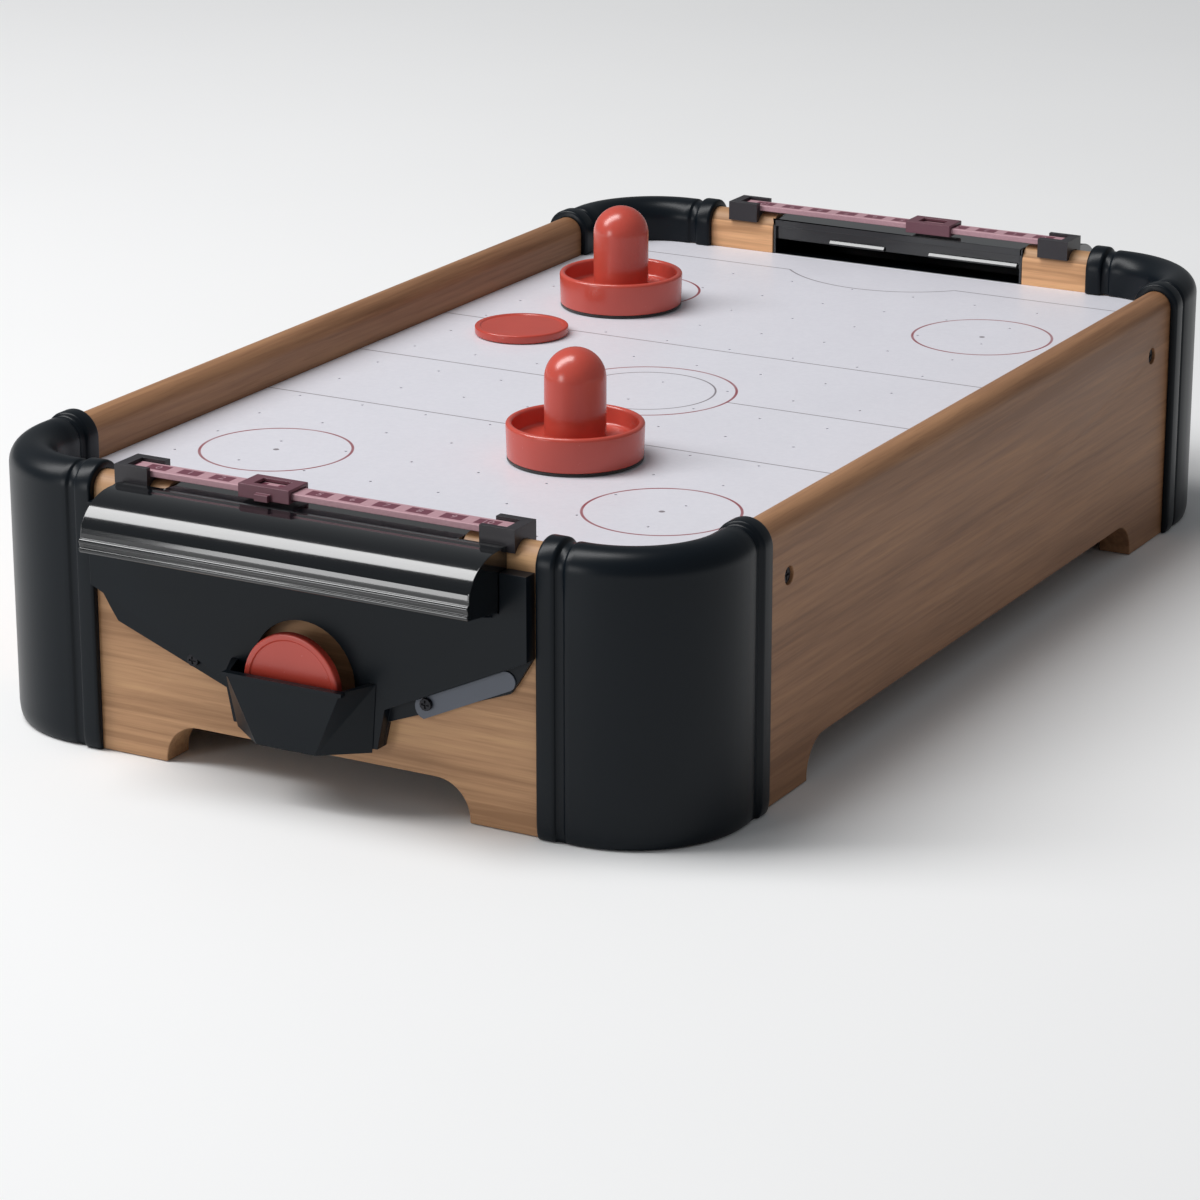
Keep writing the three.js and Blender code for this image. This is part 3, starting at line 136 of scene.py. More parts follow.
def on_part(tree, stretch=(1, 1, 1)):
    """Object coordinates in metres, stretched. Each piece's object sits at the origin."""
    return node(tree, "Mapping", {0: node(tree, "TexCoord", out=3), 3: stretch})


print("helpers ready")

# %% [markdown]
# ## Woodgrain foil
# The boards are fibreboard wrapped in a printed oak foil, rolled round the rail's top. Real grain
# is long thin pores that run with the board, over broad soft bands where the tree's growth rings
# were cut. Noise stretched thirty times along the board gives pores, and slower noise gives the
# bands. The end boards' grain runs across the game, the sides' along it, and the end boards'
# inner faces are brightened as painted light, standing in for the light that falls on them.
# %% Woodgrain foil

# Brightness gain for the end boards' faces towards the field: painted light, not a paler print.
PAINTED_LIGHT_GAIN = 1.75


def woodgrain(name, stretch, light, middle, dark, painted_light_within=0.0):
    """Foil with its grain along the stretched axis, 30 times longer than it is wide.

    A noise's Scale is 1 / its size in metres: bands are 20 mm wide, streaks 2.4 mm and pores 1 mm.
    Where |y| is below the last argument, the foil is made brighter by a fixed gain: painted light
    on the faces towards the field.
    """
    material, tree, shader = finish(name, IOR=1.46, Specular_IOR_Level=0.4)
    where = on_part(tree, stretch)
    bands = node(
        tree, "TexNoise", {"Vector": where, "Scale": 48.0, "Detail": 3.0, "Distortion": 0.4})
    streaks = node(
        tree, "TexNoise", {"Vector": where, "Scale": 420.0, "Detail": 5.0, "Roughness": 0.6})
    pores = node(tree, "TexNoise", {"Vector": where, "Scale": 1000.0, "Detail": 2.0})
    tone = node(tree, "Math", node(tree, "Math", bands, 0.55, operation="MULTIPLY"),
                node(tree, "Math", streaks, 0.45, operation="MULTIPLY"), operation="ADD")
    wood = node(tree, "ValToRGB", tone, stops=[(0.38, dark), (0.5, middle), (0.62, light)])
    open_pore = node(tree, "ValToRGB", pores, stops=[(0.34, 0.3), (0.44, 0.0)])
    colour = node(tree, "Mix", {0: open_pore, 6: wood, 7: dark}, out=2, data_type="RGBA")
    gloss = node(tree, "MapRange", streaks, 0.0, 1.0, 0.40, 0.56)
    height = node(tree, "Math", streaks, open_pore, operation="SUBTRACT")
    # Painted light: faces towards the field are brightened to stand in for the light that falls on
    # them.
    if painted_light_within:
        along = node(tree, "SeparateXYZ", on_part(tree), out=1)
        from_middle = node(tree, "Math", along, operation="ABSOLUTE")
        inside = node(tree, "Math", from_middle, painted_light_within, operation="LESS_THAN")
        colour = node(tree, "HueSaturation", {"Value": PAINTED_LIGHT_GAIN, "Fac": inside, "Color": colour})
    lay(tree, shader, colour, gloss, height, 0.03)
    return material


side_foil = woodgrain("oak_foil_lengthwise", (1, 1 / 30, 1), "#ab7f5b", "#9a7050", "#815a3d")
end_foil = woodgrain("oak_foil_crosswise", (1 / 30, 1, 1), "#c39a70", "#b28863", "#97704e",
                     painted_light_within=BOARD_INSIDE + 0.5 * MM)
print(side_foil.name, end_foil.name)

# %% [markdown]
# ## Moulded plastics
# The corner caps, chutes and trays are ABS with a fine spark-eroded texture that breaks the shine
# into a soft sheen. The hoods are the same plastic from a polished mould, so they keep sharp bands
# of light. Both are a very dark blue-grey rather than a true black, with an IOR of 1.54.
# Handling leaves faint patches of different gloss a few centimetres across.
# %% Moulded plastics


def moulding(name, colour, roughness, spread, grit_mm, depth_mm, specular=0.5, polish=0.0):
    """Moulded plastic: slightly cloudy colour, gloss that varies by spread, and a fine grit.

    The clouds are 45 mm across. grit_mm is the size of the grit and depth_mm its depth. polish is
    the weight of a clear glossy coat.
    """
    material, tree, shader = finish(
        name, IOR=1.54, Specular_IOR_Level=specular, Coat_Weight=polish, Coat_Roughness=0.06)
    where = on_part(tree)
    clouds = node(tree, "TexNoise", {"Vector": where, "Scale": 22.0, "Detail": 3.0})
    grit = node(tree, "TexNoise", {"Vector": where, "Scale": 1 / (grit_mm * MM), "Detail": 2.0})
    share = node(tree, "Math", clouds, 0.25, operation="MULTIPLY")
    shade = node(tree, "Mix", {0: share, 6: colour, 7: "#000000"}, out=2, data_type="RGBA")
    low, high = roughness - spread / 2, roughness + spread / 2
    gloss = node(tree, "MapRange", clouds, 0.0, 1.0, low, high)
    lay(tree, shader, shade, gloss, grit, depth_mm)
    return material


black_abs = moulding("textured_black_abs", "#0b131a", 0.33, 0.12, 0.8, 0.02, 0.18)
gloss_abs = moulding("polished_black_abs", "#0a0e12", 0.12, 0.05, 2.5, 0.004, 0.3, 0.8)
dark_abs = moulding("satin_charcoal_abs", "#2c292e", 0.38, 0.10, 0.7, 0.02, 0.4)
wine_abs = moulding("satin_wine_abs", "#704450", 0.38, 0.10, 0.7, 0.02, 0.4)
# Lighter grey for the flange tabs: a painted highlight standing in for the light the flange
# catches.
tab_sheen_abs = moulding("grey_abs_painted_highlight", "#565c68", 0.42, 0.14, 0.9, 0.03)
white_abs = moulding("white_abs", "#d9d6cc", 0.45, 0.08, 0.9, 0.02)
wire_pvc = moulding("red_pvc_sleeve", "#a02626", 0.5, 0.10, 0.8, 0.02)
print("seven plastics")

# %% [markdown]
# ## Red polystyrene
# Strikers and pucks are moulded in orange-red polystyrene, IOR 1.59, which is slightly
# translucent: a little subsurface scattering softens the shadow inside the dish. Fine scratches
# from sliding show as a change in gloss rather than in colour.
# %% Red polystyrene


def red_plastic(name, colour, deep):
    """Translucent red plastic: 25 mm clouds, 9 mm ripples, scratches 1 mm apart and 20 mm long."""
    material, tree, shader = finish(
        name, IOR=1.59, Subsurface_Weight=0.08, Subsurface_Scale=0.003)
    where = on_part(tree)
    drawn = on_part(tree, (1, 0.06, 1))
    clouds = node(tree, "TexNoise", {"Vector": where, "Scale": 40.0, "Detail": 3.0})
    ripple = node(tree, "TexNoise", {"Vector": where, "Scale": 110.0, "Detail": 1.0})
    slid = node(tree, "TexNoise", {"Vector": drawn, "Scale": 900.0, "Detail": 3.0})
    share = node(tree, "Math", clouds, 0.5, operation="MULTIPLY")
    shade = node(tree, "Mix", {0: share, 6: colour, 7: deep}, out=2, data_type="RGBA")
    gloss = node(tree, "ValToRGB", slid, stops=[(0.4, 0.24), (0.8, 0.28)])
    lay(tree, shader, shade, gloss, ripple, 0.01)
    return material


red_styrene = red_plastic("orange_red_polystyrene", "#cc5142", "#b0443a")
puck_styrene = red_plastic("brick_red_polystyrene", "#c8493a", "#a83a2e")
print(red_styrene.name, puck_styrene.name)

# %% [markdown]
# ## The printed field
# The field is a thin board under white film, printed with the lines of a rink and drilled with
# rows of air holes. A printed line is a place where a distance is nearly zero: the distance from a
# circle is | length(x, y) - radius |, and from a straight line |y - place|. Taking |x| and |y|
# first draws all four face-off circles with one. A step down at half the line's width inks it.
# The goal line stops at the crease, and the crease is the part of a circle in front of that line.
# The halfway line stops at the centre circle.
# %% Field print

CIRCLE_AT = (85.4 * MM, 145.8 * MM)
CIRCLE_RADIUS = 29.9 * MM
CENTRE_RADIUS = (37.2 * MM, 28.6 * MM)
ZONE_LINE = 70.6 * MM
GOAL_LINE = 214.9 * MM
CREASE_RADIUS, CREASE_DEPTH = 56 * MM, 18 * MM
CREASE_Y = GOAL_LINE + CREASE_RADIUS - CREASE_DEPTH
CREASE_HALF = math.sqrt(CREASE_RADIUS**2 - (CREASE_RADIUS - CREASE_DEPTH) ** 2)
SPOT_RADIUS = 1.1 * MM
THICK, THIN = 0.42 * MM, 0.26 * MM
SOFT_EDGE = 0.25 * MM


def ink(tree, distance, half):
    """1 within half of a line's middle, falling to 0 over a soft edge beyond it."""
    return node(tree, "MapRange", distance, half, half + SOFT_EDGE, 1.0, 0.0)


def line(tree, value, at):
    """Distance of a coordinate from a place: |value - at|."""
    gap = node(tree, "Math", value, at, operation="SUBTRACT")
    return node(tree, "Math", gap, operation="ABSOLUTE")


def ring(tree, x, y, radius):
    """Distance from a circle about the point where x and y are 0: |length(x, y, 0) - radius|."""
    spot = node(tree, "CombineXYZ", x, y, 0.0)
    return line(tree, node(tree, "VectorMath", spot, operation="LENGTH", out=1), radius)


def any_of(tree, *masks):
    """The largest of several masks."""
    found = masks[0]
    for mask in masks[1:]:
        found = node(tree, "Math", found, mask, operation="MAXIMUM")
    return found


def field_print():
    """White film with red circles and thin grey lines, 2 mm fibres and 17 mm worn patches."""
    material, tree, shader = finish("printed_white_film", IOR=1.5, Specular_IOR_Level=0.4)
    where = on_part(tree)
    x = node(tree, "SeparateXYZ", where)
    y = node(tree, "SeparateXYZ", where, out=1)
    across = node(tree, "Math", x, operation="ABSOLUTE")
    along = node(tree, "Math", y, operation="ABSOLUTE")
    spot_x = node(tree, "Math", across, CIRCLE_AT[0], operation="SUBTRACT")
    spot_y = node(tree, "Math", along, CIRCLE_AT[1], operation="SUBTRACT")
    crease_y = node(tree, "Math", along, CREASE_Y, operation="SUBTRACT")
    from_middle = ring(tree, x, y, 0.0)
    outside = node(tree, "Math", from_middle, CENTRE_RADIUS[0], operation="GREATER_THAN")
    in_front = node(tree, "Math", along, GOAL_LINE, operation="LESS_THAN")
    beside = node(tree, "Math", across, CREASE_HALF, operation="GREATER_THAN")
    crease = ink(tree, ring(tree, x, crease_y, CREASE_RADIUS), THIN)
    goal = ink(tree, line(tree, along, GOAL_LINE), THIN)
    red = any_of(
        tree, ink(tree, ring(tree, spot_x, spot_y, CIRCLE_RADIUS), THICK),
        ink(tree, line(tree, from_middle, CENTRE_RADIUS[0]), THICK))
    grey = any_of(
        tree, ink(tree, ring(tree, spot_x, spot_y, 0.0), SPOT_RADIUS),
        ink(tree, line(tree, from_middle, CENTRE_RADIUS[1]), THIN),
        ink(tree, line(tree, along, ZONE_LINE), THIN),
        node(tree, "Math", ink(tree, along, THIN), outside, operation="MULTIPLY"),
        node(tree, "Math", crease, in_front, operation="MULTIPLY"),
        node(tree, "Math", goal, beside, operation="MULTIPLY"))
    fibre = node(tree, "TexNoise", {"Vector": where, "Scale": 500.0, "Detail": 4.0})
    worn = node(tree, "TexNoise", {"Vector": where, "Scale": 60.0, "Detail": 3.0})
    film = node(tree, "Mix", {0: fibre, 6: "#e4e3ea", 7: "#dad9e1"}, out=2, data_type="RGBA")
    grey = node(tree, "Math", grey, 0.85, operation="MULTIPLY")
    lined = node(tree, "Mix", {0: grey, 6: film, 7: "#6d6468"}, out=2, data_type="RGBA")
    wear = node(tree, "MapRange", worn, 0.3, 0.7, 0.7, 1.0)
    fade = node(tree, "Math", red, wear, operation="MULTIPLY")
    lined = node(tree, "Mix", {0: fade, 6: lined, 7: "#8e2f38"}, out=2, data_type="RGBA")
    lay(tree, shader, lined, node(tree, "MapRange", worn, 0.0, 1.0, 0.32, 0.46), fibre, 0.008)
    return material


white_field = field_print()
print(len(white_field.node_tree.nodes), "nodes in the field print")

# %% [markdown]
# ## The score strip's print
# The strip is a flat pink strip with a row of wine-red boxes 14 mm apart, one for each number. A
# box is where the distance from the nearest box's middle is small in both directions: wrapping x
# by the pitch gives that distance along the strip.
# %% Score strip print

BOX_PITCH = 14 * MM
BOX_HALF = (4.5 * MM, 2.7 * MM)
strip_mid = END_FACE - BOARD / 2
print_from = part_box("score_strip_front")[1].z - 0.2 * MM


def strip_print():
    """Dusty pink strip, 1.4 mm grain, with wine-red boxes on its top, above print_from."""
    material, tree, shader = finish("printed_pink_strip", IOR=1.5, Specular_IOR_Level=0.4)
    where = on_part(tree)
    x = node(tree, "SeparateXYZ", where)
    y = node(tree, "SeparateXYZ", where, out=1)
    height = node(tree, "SeparateXYZ", where, out=2)
    nearest = node(tree, "Math", x, BOX_PITCH / 2, -BOX_PITCH / 2, operation="WRAP")
    off = line(tree, node(tree, "Math", y, operation="ABSOLUTE"), strip_mid)
    in_x = ink(tree, node(tree, "Math", nearest, operation="ABSOLUTE"), BOX_HALF[0])
    in_y = ink(tree, off, BOX_HALF[1])
    on_top = node(tree, "Math", height, print_from, operation="GREATER_THAN")
    boxed = node(tree, "Math", in_x, in_y, operation="MULTIPLY")
    boxed = node(tree, "Math", boxed, on_top, operation="MULTIPLY")
    grain = node(tree, "TexNoise", {"Vector": where, "Scale": 700.0, "Detail": 3.0})
    pink = node(tree, "Mix", {0: grain, 6: "#c49ba3", 7: "#b28992"}, out=2, data_type="RGBA")
    wine = node(tree, "Mix", {0: grain, 6: "#7a4553", 7: "#693746"}, out=2, data_type="RGBA")
    colour = node(tree, "Mix", {0: boxed, 6: pink, 7: wine}, out=2, data_type="RGBA")
    lay(tree, shader, colour, node(tree, "MapRange", grain, 0.0, 1.0, 0.32, 0.46), boxed, 0.05)
    return material


score_film = strip_print()
print(score_film.name)

# %% [markdown]
# ## Inner materials
# Hardboard is pressed fibre, brown and matt with short hairs. The felt under a striker is pressed
# wool. Screws are dark steel, coloured dark as painted shade for the side screws' recessed holes,
# and the motor's can is zinc plated; rolling leaves fine streaks.
# The contact plates are spring brass.
# %% Inner materials


def fibrous(name, light, dark, roughness, hair_mm, depth_mm, sheen=0.0):
    """A matt material made of hairs about hair_mm wide."""
    material, tree, shader = finish(name, IOR=1.45, Sheen_Weight=sheen)
    fine = 1 / (hair_mm * MM)
    hairs = node(
        tree, "TexNoise",
        {"Vector": on_part(tree), "Scale": fine, "Detail": 5.0, "Distortion": 1.5})
    colour = node(tree, "ValToRGB", hairs, stops=[(0.35, dark), (0.65, light)])
    gloss = node(tree, "MapRange", hairs, 0.0, 1.0, roughness - 0.06, roughness + 0.05)
    lay(tree, shader, colour, gloss, hairs, depth_mm)
    return material


def metal(name, light, dark, roughness, streak_mm):
    """Bare or plated sheet with rolling streaks about streak_mm wide and 3 mm spots."""
    material, tree, shader = finish(name, Metallic=1.0)
    drawn, fine = on_part(tree, (1, 1, 0.08)), 1 / (streak_mm * MM)
    streaks = node(tree, "TexNoise", {"Vector": drawn, "Scale": fine, "Detail": 3.0})
    spots = node(tree, "TexNoise", {"Vector": on_part(tree), "Scale": 300.0, "Detail": 3.0})
    colour = node(tree, "Mix", {0: spots, 6: light, 7: dark}, out=2, data_type="RGBA")
    gloss = node(tree, "MapRange", streaks, 0.0, 1.0, roughness - 0.1, roughness + 0.1)
    lay(tree, shader, colour, gloss, streaks, 0.01)
    return material


hardboard = fibrous("pressed_hardboard", "#8a6748", "#5a3f29", 0.85, 0.9, 0.08)
felt = fibrous("pressed_wool_felt", "#3a3636", "#1c1a1a", 0.92, 0.35, 0.25, 0.3)
steel = metal("zinc_plated_steel", "#a8aaad", "#7d7f83", 0.36, 0.4)
# Dark steel for the screws: its darkness is painted shade, standing in for the shade in the side
# screws' recessed holes.
dark_screw_steel = metal("dark_steel_painted_shade", "#3a3a3d", "#242427", 0.42, 0.4)
brass = metal("spring_brass", "#c9a45c", "#a37f3e", 0.3, 0.4)
print("inner finishes ready")

# %% [markdown]
# ## Cell sleeve
# A cell is a steel can in a printed shrink sleeve. Its bands are rings round its length, so the
# distance from the cell's middle says where each colour starts. With the sleeve all the finishes
# are there, and a table gives each material slot of the record its own.
# %% Cell sleeve

CAP_FROM, BAND_FROM = 23.6 * MM, 15 * MM
cell_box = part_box("battery_1")


def cell_sleeve():
    """Shrink sleeve in plain colours: dark green, a copper band at both ends, steel caps."""
    material, tree, shader = finish("printed_cell_sleeve", IOR=1.5)
    where = on_part(tree)
    centre = (cell_box[0].y + cell_box[1].y) / 2
    off = line(tree, node(tree, "SeparateXYZ", where, out=1), centre)
    cap = node(tree, "Math", off, CAP_FROM, operation="GREATER_THAN")
    band = node(tree, "Math", off, BAND_FROM, operation="GREATER_THAN")
    speck = node(tree, "TexNoise", {"Vector": where, "Scale": 400.0, "Detail": 3.0})
    green = node(tree, "Mix", {0: speck, 6: "#2f4a38", 7: "#263c2e"}, out=2, data_type="RGBA")
    sleeve = node(tree, "Mix", {0: band, 6: green, 7: "#b98f4a"}, out=2, data_type="RGBA")
    colour = node(tree, "Mix", {0: cap, 6: sleeve, 7: "#a9a9a9"}, out=2, data_type="RGBA")
    lay(tree, shader, colour, node(tree, "MapRange", speck, 0.0, 1.0, 0.2, 0.34), speck, 0.02)
    return material


FINISH = {
    "woodgrain_board": side_foil, "black_moulding": black_abs, "gloss_black_moulding": gloss_abs,
    "dark_moulding": dark_abs, "red_moulding": red_styrene, "white_field": white_field,
    "hardboard": hardboard, "white_moulding": white_abs, "score_strip": score_film, "felt": felt,
    "steel": steel, "cell_wrap": cell_sleeve(), "sprung_brass": brass, "wire_sleeve": wire_pvc,
}
print(len(FINISH), "finishes")

# %% [markdown]
# ## From arrays to pieces
# A surface is a grid of points: one parameter runs along the rows, the other down the columns.
# Its faces only say which neighbours join, so they come from index arithmetic. A finished piece
# rides on the body of the CAD node that it replaces and takes that node's material slot.
# %% Mesh helpers


def grid(points, close_rows=False, close_columns=False):
    """Quads between neighbours (i, j), (i+1, j), (i+1, j+1), (i, j+1) of a rows x columns grid."""
    rows, columns = points.shape[:2]
    index = np.arange(rows * columns).reshape(rows, columns)
    if close_rows:
        index = np.vstack([index, index[:1]])
    if close_columns:
        index = np.hstack([index, index[:, :1]])
    quads = np.stack([index[:-1, :-1], index[1:, :-1], index[1:, 1:], index[:-1, 1:]], -1)
    return points.reshape(-1, 3), quads.reshape(-1, 4).tolist()


def together(*parts):
    """Joins (points, faces) pairs: each part's face indices move up by the points before it."""
    points, faces, start = [], [], 0
    for part_points, part_faces in parts:
        points.append(part_points)
        faces += [[i + start for i in face] for face in part_faces]
        start += len(part_points)
    return np.vstack(points), faces


def smooth(mesh, degrees):
    """Smooth shading, but edges that turn by more than the angle stay sharp."""
    mesh.shade_smooth()
    mesh.set_sharp_from_angle(angle=math.radians(degrees))


def settle(made, cad, material=None, instead=True):
    """Puts a piece in the scene on a CAD node's body, in that node's place or as an extra on it."""
    bpy.context.scene.collection.objects.link(made)
    made.data.materials.clear()
    made.data.materials.append(material or FINISH[SLOT_OF[cad]])
    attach(made, BODY_OF[cad])
    if instead:
        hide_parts(cad)
    return made


def piece(name, points, faces, cad, material=None, degrees=32, instead=True):
    """A mesh object from arrays. Doubles are merged, then all faces are turned outwards."""
    mesh = bpy.data.meshes.new(name)
    mesh.from_pydata(points, [], faces)
    work = bmesh.new()
    work.from_mesh(mesh)
    bmesh.ops.remove_doubles(work, verts=work.verts, dist=0.002 * MM)
    bmesh.ops.recalc_face_normals(work, faces=work.faces)
    work.to_mesh(mesh)
    work.free()
    smooth(mesh, degrees)
    return settle(bpy.data.objects.new(name, mesh), cad, material, instead)


def round_edges(made, width_mm, degrees=30):
    """Rounds edges sharper than the angle and keeps flat faces flat in the shading."""
    bevel = made.modifiers.new("round_edges", "BEVEL")
    bevel.width = width_mm * MM
    bevel.segments = 2
    bevel.limit_method = "ANGLE"
    bevel.angle_limit = math.radians(degrees)
    bevel.harden_normals = True
    return made


def arc(centre, radius, start, end, count):
    """Points centre + radius (cos a, sin a), a from start to end in degrees."""
    a = np.radians(np.linspace(start, end, count))
    return np.column_stack([centre[0] + radius * np.cos(a), centre[1] + radius * np.sin(a)])


def bezier(points, count):
    """Cubic Bezier: sum of (1-t)^3, 3(1-t)^2 t, 3(1-t) t^2, t^3 times the four points."""
    t = np.linspace(0, 1, count)[:, None]
    weights = [(1 - t) ** 3, 3 * (1 - t) ** 2 * t, 3 * (1 - t) * t**2, t**3]
    return sum(w * np.array(p, float) for w, p in zip(weights, points))


def turned_profile(profile, centre, segments=96):
    """Spins (radius, height) points in mm about a vertical axis: x = r cos a, y = r sin a."""
    profile = np.array(profile, float) * MM
    a = np.linspace(0, 2 * np.pi, segments, endpoint=False)[:, None]
    r, z = profile[:, 0][None], profile[:, 1][None]
    x, y = centre[0] + r * np.cos(a), centre[1] + r * np.sin(a)
    return grid(np.stack([x, y, centre[2] + z + 0 * a], -1), close_rows=True)


def extruded(outline, x0, x1):
    """A closed outline of (y, z) points, carried along X, with a face at each end."""
    count = len(outline)
    rows = np.array([[[x, y, z] for y, z in outline] for x in (x0, x1)])
    points, faces = grid(rows, close_columns=True)
    return points, [*faces, list(range(count))[::-1], list(range(count, 2 * count))]


def bar(low, high):
    """A plain bar between two corners, for a Bevel modifier to finish."""
    outline = [(low[1], low[2]), (high[1], low[2]), (high[1], high[2]), (low[1], high[2])]
    return extruded(outline, low[0], high[0])


def middle(name):
    """Middle of a CAD node's box."""
    low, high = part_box(name)
    return (low + high) / 2


def curve_mesh(curve, place):
    """The filled shape of a flat curve or text as (points, faces), put in place by a matrix."""
    holder = bpy.data.objects.new(curve.name, curve)
    bpy.context.scene.collection.objects.link(holder)
    bpy.context.view_layer.update()
    shaped = holder.evaluated_get(bpy.context.evaluated_depsgraph_get())
    mesh = bpy.data.meshes.new_from_object(shaped)
    bpy.data.objects.remove(holder)
    mesh.transform(place)
    points = np.zeros(len(mesh.vertices) * 3, np.float32)
    mesh.vertices.foreach_get("co", points)
    return points.reshape(-1, 3).astype(float), [list(p.vertices) for p in mesh.polygons]


print("mesh helpers ready")

# %% [markdown]
# ## Corner caps
# A cap is a moulded corner that slips over the rails: a skin over the rounded rail top, an outer
# leg to the floor and a short inner leg to the field. It could be cut from a rounded box, but the
# real one is a pipe bend with collars, so it is made like one: the rail's cross-section is
# carried round the corner, and its skin swells and dips near both ends to make collar and groove.
# %% Corner caps

# A cap runs on past its corner along the end board and the side board. At the floor its skin
# turns in by FOOT_EDGE over FOOT_RISE, and the inner leg's tip is rounded by TOE_EDGE.
CAP_STRAIGHT = (14 * MM, 17 * MM)
SKIN_PROUD = 2.2 * MM
cap_inner = BOARD / 2 + FIT
cap_skin = BOARD / 2 + SKIN_PROUD
FOOT_EDGE, FOOT_RISE, TOE_EDGE = 1.8 * MM, 7 * MM, 0.6 * MM
# Distance from the cap's end, and how proud of the board the skin stands there, in mm: the collar
# first, then the groove, then the plain skin.
COLLAR_SHAPE = np.array([
    (0, 2.2), (0.25, 2.75), (0.7, 3.08), (1.3, 3.2),
    (3.7, 3.2), (6.1, 3.2), (6.8, 3.08), (7.25, 2.75),
    (7.5, 2.1), (7.8, 1.55), (8.3, 1.4), (9.4, 1.4),
    (10.5, 1.4), (11.0, 1.6), (11.3, 2.0), (11.9, 2.2),
]) * MM


def cap_section():
    """Loop of (out, height): foot, outer leg, arch over the rail, inner leg, then back inside."""
    low = FIELD_TOP + FIT
    foot = arc((0, 0), 1, -90, 0, 9) * (FOOT_EDGE, FOOT_RISE) + (cap_skin - FOOT_EDGE, FOOT_RISE)
    outer = np.vstack([
        foot,
        arc((0, RAIL_CENTRE), cap_skin, 0, 180, 33),
        arc((-cap_skin + TOE_EDGE, low + TOE_EDGE), TOE_EDGE, 180, 270, 4),
    ])
    over_rail = arc((0, RAIL_CENTRE), cap_inner, 180, 0, 17)
    inner = np.vstack([[[-cap_inner, low]], over_rail, [[cap_inner, 0]]])
    return outer, inner


def cap_stations(straight, flip):
    """Rows of (angle, run past the bend, swell): swell is the skin's reach over its plain reach."""
    run = straight - COLLAR_SHAPE[:, 0]
    swell = (BOARD / 2 + COLLAR_SHAPE[:, 1]) / cap_skin
    angle = np.full(len(run), -np.pi / 2 if flip else 0.0)
    rows = np.column_stack([angle, run, swell])
    return rows[::-1] if flip else rows


def corner_cap(name, mirror_x, mirror_y):
    """Point = corner centre + (middle radius + out * swell) along the angle + run on the board."""
    bend = np.linspace(0, -np.pi / 2, 25)
    around = np.column_stack([bend, 0 * bend, 1 + 0 * bend])
    on_side, on_end = cap_stations(CAP_STRAIGHT[1], False), cap_stations(CAP_STRAIGHT[0], True)
    stations = np.vstack([on_side, around, on_end])
    angle, run, swell = (stations[:, i][:, None] for i in range(3))
    outer, inner = cap_section()
    loop = np.vstack([outer, inner])
    skin = np.arange(len(loop)) < len(outer)
    grow = np.where(skin[None], swell, 1.0)
    reach = MID_RADIUS + loop[:, 0][None] * grow
    rise = np.maximum(0, loop[:, 1] - RAIL_CENTRE)[None]
    x = CORNER_X + reach * np.cos(angle) + run * np.sin(angle)
    y = -CORNER_Y + reach * np.sin(angle) + run * np.cos(angle)
    z = loop[:, 1][None] + rise * (grow - 1)
    points = np.stack([x * mirror_x, y * mirror_y, z + 0 * x], -1)
    points, faces = grid(points, close_columns=True)
    count = len(loop)
    last = len(points) - count
    ends = [list(range(count))[::-1], list(range(last, last + count))]
    return piece(name + "_moulding", points, faces + ends, name, degrees=50)


for side, mx in (("right", 1), ("left", -1)):
    for end, my in (("front", 1), ("rear", -1)):
        cap = corner_cap(f"corner_cap_{end}_{side}", mx, my)
        print(cap.name, len(cap.data.polygons), "faces")

# %% [markdown]
# ## Goal hoods
# The hood is a glossy awning in front of the goal mouth. Its brow falls from the rail to a steep
# lip with two beads along its edge, so light draws one broad band on the brow and two thin lines
# on the lip. The section is a Bezier curve with arcs for the beads, carried across the game.
# Cheeks close its ends. A lining runs through the goal mouth, and from its top an apron hangs
# down to just above the puck's height, with two sloping ribs that catch the light.
# %% Goal hoods

HOOD_WALL, LINING_WALL, ROOF_WALL = 2.2 * MM, 1.2 * MM, 3.2 * MM
BEAD, SECOND_BEAD = 1.2 * MM, 4.3 * MM
GOAL_HALF = 62.75 * MM
# Low ridge along the top, behind the brow, in mm: (out from the board, up from the hood's top).
RIDGE = np.array([(0.3, 0), (2.6, 0), (3.8, 0.3), (4.6, 0.3), (5.8, 0)]) * MM
# Corners of the two Beziers, in mm: (back from the lip, down from the top), after the first.
BROW_FROM = 7 * MM
BROW = np.array([(12.5, 0), (5, 3.4), (1.5, 11)]) * MM
UNDER_BROW = np.array([(10, 0), (4, 4), (0.8, 11)]) * MM
# The apron hangs APRON_BACK behind the lining's edge on the field side, down to APRON_LOW above
# the field. Its ribs' section is in mm: (out from the apron, up from the field). Their two runs
# go from right to left for the player at that end.
APRON_BACK, APRON_LOW = 1.6 * MM, 6.6 * MM
RIB = np.array([(0, 9.2), (-1.5, 7.7), (-1.5, 6.9), (0, 6.5)]) * MM
RIB_RUNS = ((-34 * MM, -6 * MM), (16 * MM, 60 * MM))
SILL_DROP, LINING_PROUD = 1.2 * MM, 1 * MM
# The cheeks stand proud of the shell's ends and reach out to CHEEK_FOOT at the hood's seat. The
# lip is thicker than the wall by LIP_EXTRA at its lower edge.
CHEEK_PROUD, CHEEK_FOOT, LIP_EXTRA = 0.3 * MM, 6.8 * MM, 0.5 * MM
hood_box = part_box("goal_hood_front")
hood_half = hood_box[1].x
hood_reach = -hood_box[0].y - END_FACE
hood_seat, hood_top = hood_box[0].z, hood_box[1].z
lip_bottom = CREST - 21 * MM


